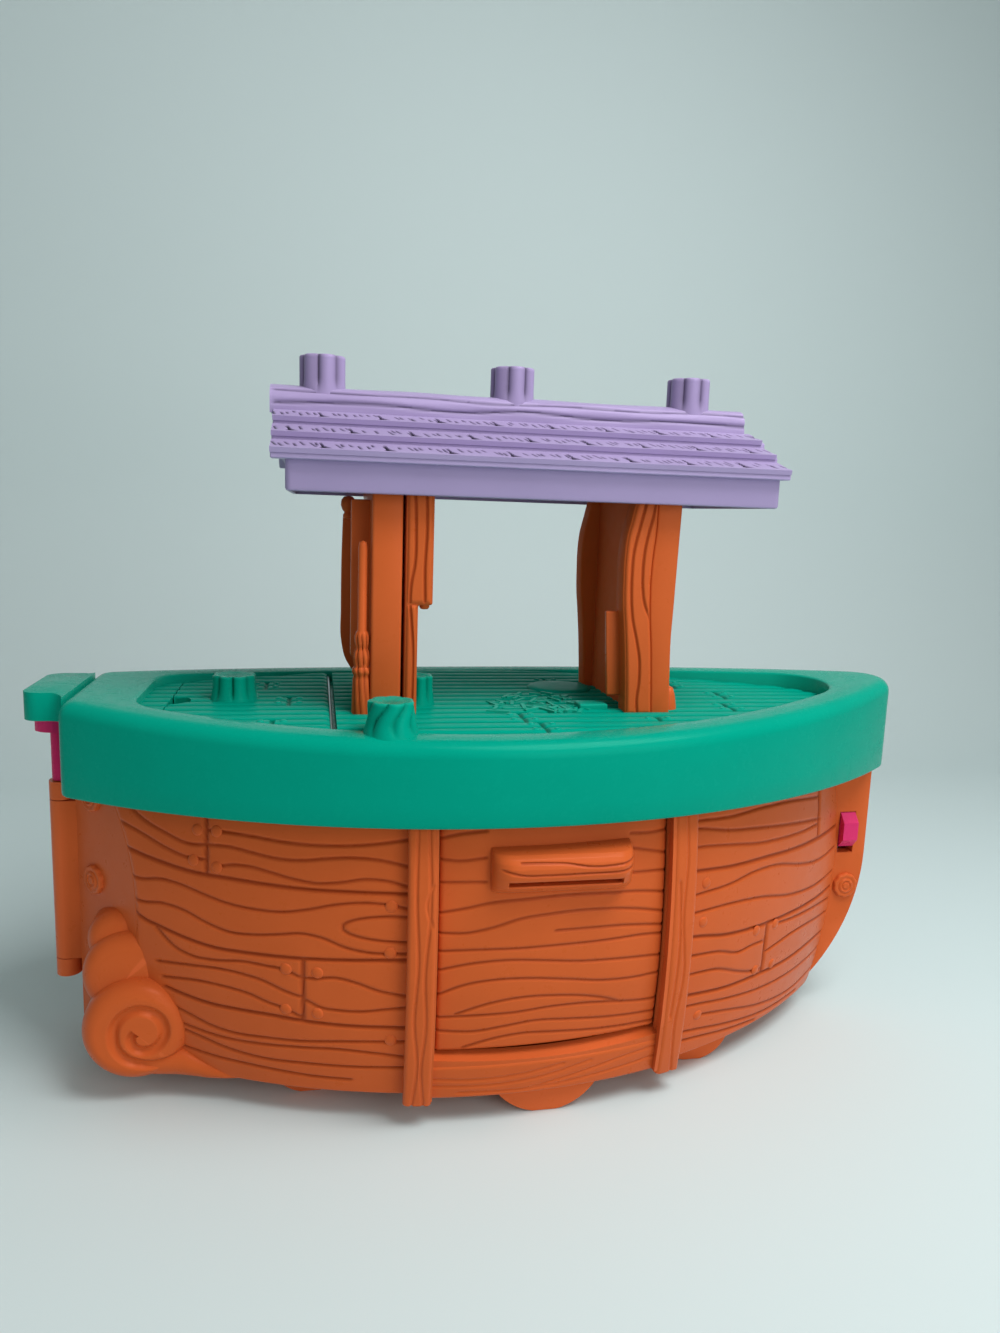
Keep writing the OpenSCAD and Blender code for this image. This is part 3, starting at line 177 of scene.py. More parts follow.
def colour(label, hex_code):
    """A colour that a user can change."""
    return FloatVectorProperty(
        name=label, description=f"Colour of the {label.lower()}", subtype="COLOR", size=4,
        min=0, max=1, default=linear(hex_code))


def length(label, millimetres):
    """A size that a user can change."""
    return FloatProperty(
        name=label, description=f"{label}, on the visible mouldings", unit="LENGTH", default=millimetres * MM)


class ArkColours(bpy.types.PropertyGroup):
    """Colours of the mouldings"""
    timber: colour("Brown hull plastic", "#C85C2B")
    deck: colour("Green deck plastic", "#00957D")
    roof: colour("Purple roof plastic", "#A090B8")
    catch: colour("Pink catch plastic", "#CB2A63")
    pin: colour("Plated steel", "#B9BCC0")
    floor: colour("Studio floor", "#D0DEDE")


class ArkSizes(bpy.types.PropertyGroup):
    """Sizes of the carving, the rim and the nail heads"""
    plank: length("Plank thickness over the hull", 0.9)
    vein: length("Depth of a grain vein", 0.75)
    vein_w: length("Half width of a grain vein", 1.05)
    seam: length("Depth of a plank seam", 0.9)
    seam_w: length("Half width of a plank seam", 1.3)
    rim_round: length("Radius of the deck rim's outer edge", 6.5)
    nail: length("Radius of a nail head", 2.5)


def sizes(name):
    """One of the user's sizes, in millimetres."""
    return getattr(bpy.context.scene.ark_sizes, name) / MM


def add(tree, kind, links=None, **settings):
    """Adds a node with its settings, default inputs and links."""
    made = tree.nodes.new(kind)
    for key, value in settings.items():
        setattr(made, key, value)
    for key, value in (links or {}).items():
        if hasattr(value, "is_output"):
            tree.links.new(value, made.inputs[key])
        else:
            made.inputs[key].default_value = value
    return made


def blank_material(name):
    """New material with an empty node tree."""
    mat = bpy.data.materials.new(name)
    mat.use_nodes = True
    mat.node_tree.nodes.clear()
    return mat


def noise(tree, size_mm, detail, roughness=0.5):
    """Noise in an object's own space, with features of about a given size."""
    space = add(tree, "ShaderNodeTexCoord").outputs["Object"]
    return add(tree, "ShaderNodeTexNoise", {
        "Vector": space, "Scale": 1 / (size_mm * MM), "Detail": detail,
        "Roughness": roughness}).outputs["Fac"]


def remap(tree, value, given, wanted):
    """Value carried over from one range to another."""
    return add(tree, "ShaderNodeMapRange", {
        "Value": value, "From Min": given[0], "From Max": given[1],
        "To Min": wanted[0], "To Max": wanted[1]}).outputs["Result"]


def blend(tree, share, first, second):
    """Mix of two colours."""
    return add(tree, "ShaderNodeMix", {0: share, 6: first, 7: second}, data_type="RGBA").outputs[2]


def tinted(paint, factor, lift=0.0):
    """Colour made darker or paler."""
    return [min(1.0, c * factor + lift) for c in paint[:3]] + [1.0]


def moulded_abs(name, paint, rough=0.3, mottle=0.1, shine=0.2, soil=(0.75, 0.3)):
    """Injection-moulded ABS: faintly uneven in tone, with a fine orange peel, paler worn edges and painted
    shade in its grooves.
    The groove shade pair gives the share of that painted shade in a groove and how bright the shade is."""
    if name in bpy.data.materials:
        return bpy.data.materials[name]
    mat = blank_material(name)
    tree = mat.node_tree
    strongest = max(paint[:3])
    tone = noise(tree, TONE_MM, 4.0, 0.55)
    base = blend(tree, tone, tinted(paint, 1 - mottle), tinted(paint, 1 + mottle))
    point = add(tree, "ShaderNodeNewGeometry").outputs["Pointiness"]
    edge = remap(tree, point, (0.53, 0.62), (0.0, 0.28))
    edged = blend(tree, edge, base, tinted(paint, 1.5, 0.03))
    # Painted shade: the groove attribute blends the colour towards a dim tone of the paint where the surface
    # is carved, sunk or fluted, standing in for the shade that falls there.
    deep = add(tree, "ShaderNodeAttribute", attribute_name="groove").outputs["Fac"]
    shade = remap(tree, deep, (0.0, 1.0), (0.0, soil[0]))
    painted_shade_colour = [soil[1] * c * math.sqrt(c / strongest) for c in paint[:3]] + [1.0]
    shaded = blend(tree, shade, edged, painted_shade_colour)
    scuff = noise(tree, SCUFF_MM, 5.0, 0.7)
    gloss = remap(tree, scuff, (0.3, 0.75), (rough - 0.06, rough + 0.1))
    glow = [0.25 + 0.75 * c / strongest for c in paint[:3]] + [1.0]
    skin = noise(tree, PEEL_MM, 2.0)
    bump = add(tree, "ShaderNodeBump", {
        "Strength": PEEL_SHARE, "Distance": PEEL_DEEP * MM, "Height": skin}).outputs["Normal"]
    shader = add(tree, "ShaderNodeBsdfPrincipled", {
        "Base Color": shaded, "Roughness": gloss, "Normal": bump, "IOR": ABS_IOR,
        "Specular IOR Level": shine, "Specular Tint": glow}).outputs["BSDF"]
    add(tree, "ShaderNodeOutputMaterial", {"Surface": shader})
    return mat


def plated_steel():
    """Zinc-plated steel: a soft metal grey with a fine mottle."""
    name = "zinc plated steel"
    if name in bpy.data.materials:
        return bpy.data.materials[name]
    mat = blank_material(name)
    tree = mat.node_tree
    paint = bpy.context.scene.ark_colours.pin
    fleck = noise(tree, FLECK_MM, 3.0)
    rough = remap(tree, fleck, (0.0, 1.0), (0.28, 0.46))
    tint = blend(tree, fleck, tinted(paint, 0.85), list(paint))
    shader = add(tree, "ShaderNodeBsdfPrincipled", {
        "Base Color": tint, "Metallic": 1.0, "Roughness": rough}).outputs["BSDF"]
    add(tree, "ShaderNodeOutputMaterial", {"Surface": shader})
    return mat


def plastic(name, setting, **surface):
    """Moulded plastic in one of the user's colours."""
    return moulded_abs(f"{name} moulded ABS", getattr(bpy.context.scene.ark_colours, setting), **surface)


def brown():
    """Terracotta brown plastic of the hull and the cabin."""
    return plastic("brown", "timber", rough=0.31)


def green():
    """Glossy green plastic of the deck."""
    return plastic("green", "deck", rough=0.24, mottle=0.06, shine=0.08)


def green_tread():
    """The same green, matt where the floor of the deck is textured."""
    return plastic("matt green", "deck", rough=0.34, mottle=0.06, shine=0.02)


def brown_inside():
    """The same brown, matt on the unpolished inside of the cabin."""
    return plastic("matt brown", "timber", rough=0.5, shine=0.02)


def purple():
    """Lilac plastic of the roof."""
    # Strong, dark painted shade in the roof's grooves, notches and cracks.
    return plastic("lilac", "roof", rough=0.36, mottle=0.07, soil=(0.96, 0.07))


def pink():
    """Pink plastic of the catch and the hinge pin."""
    return plastic("pink", "catch", rough=0.28)


def place(obj, body, replaces=()):
    """Hangs a finished piece on its body."""
    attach(obj, body)
    if replaces:
        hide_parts(*replaces)
    return obj


def coat(node, material):
    """Material on a solid that stays as it is."""
    slots = frame["nodes"][node].data.materials
    slots.clear()
    slots.append(material)


def piece(name, verts, faces, material, crease=40, groove=None):
    """Plain mesh object from points in millimetres, with outward normals."""
    mesh = bpy.data.meshes.new(name)
    mesh.from_pydata((np.asarray(verts, float) * MM).tolist(), [], [list(map(int, f)) for f in faces])
    if groove is not None:
        layer = mesh.attributes.new("groove", "FLOAT", "POINT")
        layer.data.foreach_set("value", np.asarray(groove, float).ravel())
    shape = bmesh.new()
    shape.from_mesh(mesh)
    bmesh.ops.remove_doubles(shape, verts=shape.verts, dist=0.002 * MM)
    bmesh.ops.recalc_face_normals(shape, faces=shape.faces)
    for face in shape.faces:
        face.smooth = True
    shape.to_mesh(mesh)
    shape.free()
    mesh.set_sharp_from_angle(angle=math.radians(crease))
    mesh.materials.append(material)
    obj = bpy.data.objects.new(name, mesh)
    bpy.context.scene.collection.objects.link(obj)
    return obj


def settle(obj):
    """Turns the modified shape into a plain mesh."""
    graph = bpy.context.evaluated_depsgraph_get()
    mesh = bpy.data.meshes.new_from_object(obj.evaluated_get(graph))
    obj.modifiers.clear()
    obj.data = mesh
    return obj


def soften(obj, crease):
    """Smooth shading, sharp where the surface turns by more than an angle."""
    for face in obj.data.polygons:
        face.use_smooth = True
    obj.data.set_sharp_from_angle(angle=math.radians(crease))
    return obj


def join(name, parts):
    """Several meshes as one object."""
    mesh = bpy.data.meshes.new(name)
    shape = bmesh.new()
    for part in parts:
        shape.from_mesh(part.data)
    shape.to_mesh(mesh)
    shape.free()
    mesh.materials.append(parts[0].data.materials[0])
    for part in parts:
        bpy.data.objects.remove(part, do_unlink=True)
    obj = bpy.data.objects.new(name, mesh)
    bpy.context.scene.collection.objects.link(obj)
    return obj


def circle(count):
    """Angles round a full turn."""
    return np.linspace(0, 2 * np.pi, count, endpoint=False)


def level_ring(x, y, radius, z, angle):
    """Level ring of points about an upright axis."""
    return np.column_stack([x + radius * np.cos(angle), y + radius * np.sin(angle), np.full_like(angle, z)])


def grid_faces(index, around=False):
    """Quads of a grid of vertex numbers."""
    if around:
        index = np.hstack([index, index[:, :1]])
    return np.stack([index[:-1, :-1], index[:-1, 1:], index[1:, 1:], index[1:, :-1]], -1).reshape(-1, 4)


def relief(name, base, normal, height, back, material, crease=50, groove=None):
    """Closed shell with a carved face over a plain back, with painted shade where it is carved."""
    rows, cols = height.shape
    front = base + normal * height[..., None]
    rear = base - normal * back
    index = np.arange(rows * cols).reshape(rows, cols)
    rim = np.concatenate([index[0], index[1:, -1], index[-1, -2::-1], index[-2:0:-1, 0]])
    after = np.roll(rim, -1)
    count = rows * cols
    faces = np.concatenate([
        grid_faces(index), grid_faces(index)[:, ::-1] + count,
        np.stack([rim, rim + count, after + count, after], -1)])
    # The groove values on the carved face are painted shade.
    shade = np.zeros(2 * count)
    if groove is not None:
        shade[:count] = groove.ravel()
    verts = np.concatenate([front.reshape(-1, 3), rear.reshape(-1, 3)])
    return piece(name, verts, faces, material, crease, shade)


def loft(name, rings, material, caps=True, closed=False, crease=40, groove=None):
    """Skin over rings of points, each ring closed on itself."""
    rings = np.asarray(rings, float)
    rows, cols = rings.shape[:2]
    index = np.arange(rows * cols).reshape(rows, cols)
    if closed:
        index = np.vstack([index, index[:1]])
    faces = grid_faces(index, True).tolist()
    if caps and not closed:
        faces += [index[0].tolist()[::-1], index[-1].tolist()]
    return piece(name, rings.reshape(-1, 3), faces, material, crease, groove)


def bevelled(name, verts, faces, material, width, segments=3, crease=35):
    """Solid with rounded edges."""
    obj = piece(name, verts, faces, material, crease)
    mod = obj.modifiers.new("round", "BEVEL")
    mod.width = width * MM
    mod.segments = segments
    mod.limit_method = "ANGLE"
    mod.angle_limit = math.radians(30)
    return soften(settle(obj), crease)


def prism(name, outline, span, axis, material, width=1.2):
    """Rounded slab from an outline, drawn across one axis."""
    flat = [np.insert(np.asarray(outline, float), axis, s, axis=1) for s in span]
    count = len(outline)
    around = [(i, (i + 1) % count) for i in range(count)]
    faces = [list(range(count))[::-1], list(range(count, 2 * count))]
    faces += [[a, b, b + count, a + count] for a, b in around]
    return bevelled(name, np.concatenate(flat), faces, material, width)


def bend(points, count=120):
    """Smooth line through points that advance along the first axis."""
    px, pz = np.array(points, float).T
    slope = np.gradient(pz, px)
    x = np.linspace(px[0], px[-1], count)
    i = np.clip(np.searchsorted(px, x) - 1, 0, len(px) - 2)
    h = px[i + 1] - px[i]
    t = (x - px[i]) / h
    z = ((2 * t ** 3 - 3 * t ** 2 + 1) * pz[i] + (t ** 3 - 2 * t ** 2 + t) * h * slope[i]
         + (3 * t ** 2 - 2 * t ** 3) * pz[i + 1] + (t ** 3 - t ** 2) * h * slope[i + 1])
    return x, z


def furrow(distance, half_width):
    """Depth of a rounded groove, from 1 in its middle to 0 at its edge."""
    t = np.clip(distance / half_width, 0, 1)
    return (1 - t * t) ** 2


def line_cut(along, up, points, half_width, depth):
    """Groove along a smooth line."""
    px, pz = bend(points)
    level = np.interp(along, px, pz)
    slope = np.interp(along, px, np.gradient(pz, px))
    off = np.abs(up - level) / np.sqrt(1 + slope ** 2)
    past = np.clip(np.maximum(px[0] - along, along - px[-1]), 0, None)
    return depth * furrow(np.hypot(off, past), half_width)


def ring_cut(along, up, knot, half_width, depth):
    """Groove round an oval knot."""
    x, z, long, tall = knot
    reach = np.hypot((along - x) / long, (up - z) / tall)
    slope = np.hypot((along - x) / long ** 2, (up - z) / tall ** 2) / np.maximum(reach, 1e-6)
    return depth * furrow(np.abs(reach - 1) / np.maximum(slope, 1e-6), half_width)


def end_cut(along, up, seam, half_width, depth):
    """Groove between the ends of two planks."""
    x, low, high = seam
    past = np.clip(np.maximum(low - up, up - high), 0, None)
    return depth * furrow(np.hypot(along - x, past), half_width)


def deepest(cuts):
    """Deepest of several grooves at each point."""
    return np.maximum.reduce(list(cuts))


def smooth_step(value, low, high):
    """Eased ramp from 0 to 1."""
    t = np.clip((value - low) / (high - low), 0, 1)
    return t * t * (3 - 2 * t)


def barrel(z):
    """Plan radius of the hull's side at a height."""
    return HULL_R - BULGE_R + np.sqrt(BULGE_R ** 2 - (z - BULGE_Z) ** 2)


def hull_skin(x, z, side=-1):
    """Points and outward normals on the barrel of the hull."""
    ring = barrel(z)
    run = x - WIDE_X
    chord = np.sqrt(ring ** 2 - run ** 2)
    tilt = (z - BULGE_Z) / BULGE_R
    level = np.sqrt(1 - tilt ** 2)
    base = np.stack([x, side * (chord - HULL_C), z], -1)
    normal = np.stack([level * run / ring, side * level * chord / ring, tilt], -1)
    return base, normal


def carved(x, z, veins, seams=(), ends=(), knots=()):
    """Depth of the carving at each point of the planking."""
    vein = sizes("vein_w"), sizes("vein")
    seam = sizes("seam_w"), sizes("seam")
    cuts = [line_cut(x, z, points, *vein) for points in veins]
    cuts += [line_cut(x, z, points, *seam) for points in seams]
    cuts += [end_cut(x, z, end, *seam) for end in ends]
    cuts += [ring_cut(x, z, knot, *vein) for knot in knots]
    return deepest(cuts)


def plank_panel(name, side, aft, fore, top, carving, fade, columns=120):
    """Planked skin between an aft and a fore edge of the hull, falling to the solid at a faded end."""
    step, ease, past, end_ease, root = 0.5, 1.2, 0.2, 1.6, 0.6
    z = np.arange(HULL_LOW, top + step / 2, step)
    s = np.linspace(0, 1, columns)
    x = aft(z)[:, None] * (1 - s) + fore(z)[:, None] * s
    z = z[:, None] + 0 * x
    base, normal = hull_skin(x, z, side)
    cut = carved(x, z, **carving)
    height = sizes("plank") - cut
    height = height * smooth_step(z, HULL_LOW - past, HULL_LOW + ease)
    height = height * (1 - smooth_step(z, top - ease, top + past))
    if fade[0]:
        height = height * smooth_step(x - x[:, :1], -past, end_ease)
    if fade[1]:
        height = height * smooth_step(x[:, -1:] - x, -past, end_ease)
    # Painted shade: the carving's depth darkens the colour in the veins and seams, where shade falls.
    return relief(name, base, normal, height, root, brown(), groove=cut / sizes("seam"))


def stern_edge(z):
    """Where the planking meets the slanted stern plate."""
    ring = barrel(z)
    slant, flat = PLATE_OUT / PLATE_RUN, HULL_C + PLATE_IN
    half = flat * slant + STERN_X - WIDE_X
    reach = ring ** 2 - flat ** 2 - (STERN_X - WIDE_X) ** 2
    run = (np.sqrt(half ** 2 + (1 + slant ** 2) * reach) - half) / (1 + slant ** 2)
    return STERN_X + np.maximum(run, 0) + EDGE_GAP


def stem_edge(z):
    """Where the planking meets the stem plate and the forefoot."""
    ring = barrel(z)
    tip = WIDE_X + np.sqrt(ring ** 2 - (HULL_C + STEM_HALF) ** 2)
    foot = FOREFOOT_X + np.sqrt(FOREFOOT_R ** 2 - np.clip(FOREFOOT_Z - z, 0, None) ** 2)
    return np.minimum(tip, foot) - EDGE_GAP


def upright(x):
    """A straight upright edge."""
    return lambda z: np.full_like(z, x)


def nail_heads(side, spots, lift):
    """Points with the direction that each nail head faces."""
    x, z = np.array(spots, float).T
    base, normal = hull_skin(x, z, side)
    return base + normal * lift, normal


def growth_tree(name, **inputs):
    """Node tree that takes geometry and the named inputs, with nothing between them and its output yet."""
    tree = bpy.data.node_groups.new(name, "GeometryNodeTree")
    for label, kind in (("Geometry", "Geometry"), *inputs.items()):
        tree.interface.new_socket(label, in_out="INPUT", socket_type=f"NodeSocket{kind}")
    tree.interface.new_socket("Geometry", in_out="OUTPUT", socket_type="NodeSocketGeometry")
    return tree, add(tree, "NodeGroupInput").outputs


def coated(tree, shape, material):
    """Gives a node tree's shape out in one material."""
    paint = add(tree, "GeometryNodeSetMaterial", {"Geometry": shape, "Material": material})
    add(tree, "NodeGroupOutput", {"Geometry": paint.outputs["Geometry"]})
    return tree


def scatter_tree(name):
    """Node tree that sets a flattened dome on each point, facing its aim."""
    tree, given = growth_tree(name, Radius="Float", Flatness="Float", Material="Material")
    dome = add(tree, "GeometryNodeMeshUVSphere", {"Segments": 16, "Rings": 8, "Radius": given["Radius"]})
    flat = add(tree, "ShaderNodeCombineXYZ", {"X": 1.0, "Y": 1.0, "Z": given["Flatness"]})
    aim = add(tree, "GeometryNodeInputNamedAttribute", {"Name": "aim"}, data_type="FLOAT_VECTOR")
    turn = add(tree, "FunctionNodeAlignRotationToVector", {"Vector": aim.outputs["Attribute"]}, axis="Z")
    heads = add(tree, "GeometryNodeInstanceOnPoints", {
        "Points": given["Geometry"], "Instance": dome.outputs["Mesh"], "Rotation": turn.outputs["Rotation"],
        "Scale": flat.outputs["Vector"]})
    real = add(tree, "GeometryNodeRealizeInstances", {"Geometry": heads.outputs["Instances"]})
    smooth = add(tree, "GeometryNodeSetShadeSmooth", {"Geometry": real.outputs["Geometry"]})
    return coated(tree, smooth.outputs[0], given["Material"])


def grown(name, tree, mesh, inputs):
    """Plain mesh grown from points or lines by a node tree."""
    obj = bpy.data.objects.new(name, mesh)
    bpy.context.scene.collection.objects.link(obj)
    mod = obj.modifiers.new("grow", "NODES")
    mod.node_group = tree
    for item in tree.interface.items_tree:
        if item.in_out == "INPUT" and item.name in inputs:
            mod[item.identifier] = inputs[item.name]
    return settle(obj)


def domes(name, points, aims, radius, flatness, material):
    """Nail heads on a set of points."""
    mesh = bpy.data.meshes.new(name)
    mesh.from_pydata((np.asarray(points, float) * MM).tolist(), [], [])
    layer = mesh.attributes.new("aim", "FLOAT_VECTOR", "POINT")
    layer.data.foreach_set("vector", np.asarray(aims, float).ravel())
    tree = bpy.data.node_groups.get("nail heads") or scatter_tree("nail heads")
    return grown(name, tree, mesh, {"Radius": radius * MM, "Flatness": flatness, "Material": material})


def ridge_tree(name):
    """Node tree that runs a round bead along each line."""
    tree, given = growth_tree(name, Radius="Float", Material="Material")
    runs = add(tree, "GeometryNodeMeshToCurve", {"Mesh": given["Geometry"]})
    bead = add(tree, "GeometryNodeCurvePrimitiveCircle", {"Resolution": 12, "Radius": given["Radius"]})
    swept = add(tree, "GeometryNodeCurveToMesh", {
        "Curve": runs.outputs["Curve"], "Profile Curve": bead.outputs["Curve"], "Fill Caps": True})
    real = add(tree, "GeometryNodeRealizeInstances", {"Geometry": swept.outputs["Mesh"]})
    return coated(tree, real.outputs["Geometry"], given["Material"])


def beads(name, runs, radius, material):
    """Round ridges along straight runs."""
    verts = [p for run in runs for p in run]
    edges = [(2 * i, 2 * i + 1) for i in range(len(runs))]
    mesh = bpy.data.meshes.new(name)
    mesh.from_pydata((np.asarray(verts, float) * MM).tolist(), edges, [])
    tree = bpy.data.node_groups.get("plank ridges") or ridge_tree("plank ridges")
    return soften(grown(name, tree, mesh, {"Radius": radius * MM, "Material": material}), 50)


def rib(name, x0, side, veins):
    """Board up the side of the hull, with rounded edges and long grain."""
    z = np.arange(HULL_LOW - 0.3, HULL_TOP + 0.01, 0.8)
    lap, top, corner, root = 0.4, RIB_H + 0.6, 1.9, -0.6
    turn = np.radians(np.linspace(0, 90, 6))
    flat = np.linspace(corner - lap, RIB_W + lap - corner, 26)[1:-1]
    across = np.concatenate([
        [-lap], -lap + corner * (1 - np.cos(turn)), flat,
        RIB_W + lap - corner * (1 - np.cos(turn[::-1])), [RIB_W + lap]])
    up = np.concatenate([
        [root], top - corner * (1 - np.sin(turn)), np.full_like(flat, top),
        top - corner * (1 - np.sin(turn[::-1])), [root]])
    x = x0 + across[None, :] + 0 * z[:, None]
    level = z[:, None] + 0 * x
    cut = deepest(line_cut(level, across[None, :] + 0 * x, points, 0.95, 0.7) for points in veins)
    base, normal = hull_skin(x, level, side)
    lift = up[None, :] - np.where(up[None, :] > top - 0.5, cut, 0)
    tip = smooth_step(HULL_TOP - level, -0.3, 1.8)
    lift = np.where(lift > 0, lift * (0.75 + 0.25 * tip), lift)
    return loft(name, base + normal * lift[..., None], brown(), crease=50)


def sill(name, lift):
    """Rounded sill under the ramp door, with slanting grain."""
    foot, brow, top, corner, root = HULL_LOW + 1.5, 26.2, 29.0, 1.8, -0.6
    x = np.arange(DOOR_X[0] + 0.2, DOOR_X[1] - 0.1, 0.7)
    face = np.linspace(foot, brow, 34)[1:-1]
    turn = np.radians(np.linspace(0, 90, 6))
    z = np.concatenate([
        [HULL_LOW - 0.2], foot - 1.7 * np.cos(turn), face, brow + corner * np.sin(turn), [top]])
    out = np.concatenate([
        [root], lift - corner * (1 - np.sin(turn)), np.full_like(face, lift),
        lift - corner * (1 - np.cos(turn)), [root]])
    xs = x[:, None] + 0 * z[None, :]
    zs = z[None, :] + 0 * xs
    veins = [
        [(-37, 22), (-20, 21), (0, 22), (18, 25)], [(-37, 18.5), (-10, 18), (10, 20), (30, 24.5)],
        [(5, 15), (25, 19), (45, 23), (62, 25)], [(-25, 15), (5, 14.6), (40, 17.5), (62, 20)],
    ]
    cut = deepest(line_cut(xs, zs, points, 0.95, 0.65) for points in veins)
    base, normal = hull_skin(xs, zs)
    height = out[None, :] - np.where(out[None, :] > lift - 0.4, cut, 0)
    return loft(name, base + normal * height[..., None], brown(), crease=50)


def stump(name, x, y, foot, top, radius, material, flare=1.6, flutes=9, turn=0.0, sway=0.0):
    """Sawn tree stump with flutes that fade towards its foot and a dimpled top."""
    angle = circle(108)
    # dark holds painted shade: darker in the flutes, and half dark in the top dimple.
    rings, dark = [], []
    for t in np.linspace(0, 1, 18):
        lobes = np.abs(np.sin((angle + turn + sway * math.sin(t * math.pi * 1.3)) * flutes / 2)) ** 0.4
        flute = (1 - lobes) * smooth_step(t, 0.02, 0.5)
        rings.append((radius + flare * (1 - t) ** 2.2 - 1.9 * flute, foot + (top - foot) * t * 0.97))
        dark.append(flute)
    lip = rings[-1][0]
    rings += [(lip - 0.4, top - 0.05), (lip - 1.0, top), (lip * 0.8, top - 0.1), (lip * 0.55, top - 0.5),
              (lip * 0.25, top - 1.0), (lip * 0.05, top - 1.1)]
    dark += [dark[-1] * 0.6, dark[-1] * 0.2] + [0 * angle] * 2 + [0 * angle + 0.5] * 2
    shell = [level_ring(x, y, r, z, angle) for r, z in rings]
    return loft(name, shell, material, crease=60, groove=np.concatenate(dark))


def deck_ring(inset, aft, corner, bow, count=(6, 8, 60, 14)):
    """Plan of the deck drawn in from its skirt, as a ring that starts amidships at the stern."""
    reach = DECK_R - inset
    nose = WIDE_X + math.sqrt((reach - bow) ** 2 - DECK_C ** 2)
    side_y = math.sqrt((reach - corner) ** 2 - (aft + corner - WIDE_X) ** 2) - DECK_C
    half = [(aft, -side_y * i / count[0]) for i in range(count[0])]

    def arc(x, y, radius, start, end, steps, last=0):
        for i in range(steps + last):
            a = start + (end - start) * i / steps
            half.append((x + radius * math.cos(a), y + radius * math.sin(a)))

    side_dir = math.atan2(-side_y - DECK_C, aft + corner - WIDE_X) % (2 * math.pi)
    nose_dir = math.atan2(-DECK_C, nose - WIDE_X) % (2 * math.pi)
    arc(aft + corner, -side_y, corner, math.pi, side_dir, count[1])
    arc(WIDE_X, DECK_C, reach, side_dir, nose_dir, count[2])
    arc(nose, 0.0, bow, nose_dir, 2 * math.pi, count[3], 1)
    half = np.array(half)
    other = half[1:-1][::-1] * [1, -1]
    return np.concatenate([half, other])


def sheer(x):
    """Height of the rim along the deck."""
    return RIM_LOW + SHEER_R - np.sqrt(SHEER_R ** 2 - (x - SHEER_X) ** 2)


def deck_shell():
    """Skirt, rounded rim and the wall of the sunken floor, as one closed moulding."""
    curve, foot, lip, lip_fall, corner = sizes("rim_round"), 1.4, 2.2, 0.8, 7.0

    def outer(inset):
        return deck_ring(inset, TRANSOM_X + inset, corner, DECK_BOW - inset)

    def inner_wall(grow):
        return deck_ring(RIM_W - grow, FLOOR_AFT - grow, WELL_CORNER + grow, WELL_BOW + grow)

    def ring(plan, z):
        rows.append(np.column_stack([plan, z if np.ndim(z) else np.full(len(plan), z)]))

    rows = []
    well, edge, under, inner = inner_wall(0.0), inner_wall(lip), inner_wall(DECK_WALL), outer(DECK_WALL)
    ring(well, DECK_Z - DECK_WALL)
    ring(under, DECK_Z - DECK_WALL)
    ring(under, sheer(under[:, 0]) - DECK_WALL)
    ring(inner, sheer(inner[:, 0]) - curve)
    ring(inner, SKIRT_LOW + 0.6)
    for a in np.radians((0, 30, 60, 90)):
        ring(outer(foot * (1 - math.sin(a))), SKIRT_LOW + foot * (1 - math.cos(a)))
    plan = outer(0.0)
    for part in (0.3, 0.65, 1.0):
        ring(plan, SKIRT_LOW + foot + part * (sheer(plan[:, 0]) - curve - SKIRT_LOW - foot))
    for a in np.radians(range(10, 91, 10)):
        plan = outer(curve * (1 - math.cos(a)))
        ring(plan, sheer(plan[:, 0]) - curve * (1 - math.sin(a)))
    top = outer(curve)
    for part in (0.25, 0.5, 0.75, 0.92):
        plan = top * (1 - part) + edge * part
        ring(plan, sheer(plan[:, 0]) + 0.25 * math.sin(part * math.pi))
    ring(edge, sheer(edge[:, 0]))
    for a in np.radians((30, 60, 90)):
        plan = inner_wall(lip * (1 - math.sin(a)))
        ring(plan, sheer(plan[:, 0]) - lip_fall * (1 - math.cos(a)))
    return loft("deck_shell", rows, green(), closed=True, crease=55)


def well_arc(inset):
    """Reach of the well's side arc, radius of its bow and the middle of that bow."""
    reach, bow = DECK_R - RIM_W - inset, WELL_BOW - inset
    return reach, bow, WIDE_X + math.sqrt((reach - bow) ** 2 - DECK_C ** 2)


def well_half(x, inset=0.0):
    """Half breadth of the sunken floor at a place along it."""
    reach, bow, nose = well_arc(inset)
    stern = WELL_CORNER - inset
    body = np.sqrt(np.clip(reach ** 2 - (x - WIDE_X) ** 2, 0, None)) - DECK_C
    tip = np.sqrt(np.clip(bow ** 2 - (x - nose) ** 2, 0, None))
    corner_x = FLOOR_AFT + inset + stern
    corner_y = math.sqrt((reach - stern) ** 2 - (corner_x - WIDE_X) ** 2) - DECK_C
    tail = corner_y + np.sqrt(np.clip(stern ** 2 - (corner_x - x) ** 2, 0, None))
    meet = nose + bow * (nose - WIDE_X) / (reach - bow)
    turn = corner_x + stern * (corner_x - WIDE_X) / (reach - stern)
    return np.where(x > meet, tip, np.where(x < turn, tail, body))


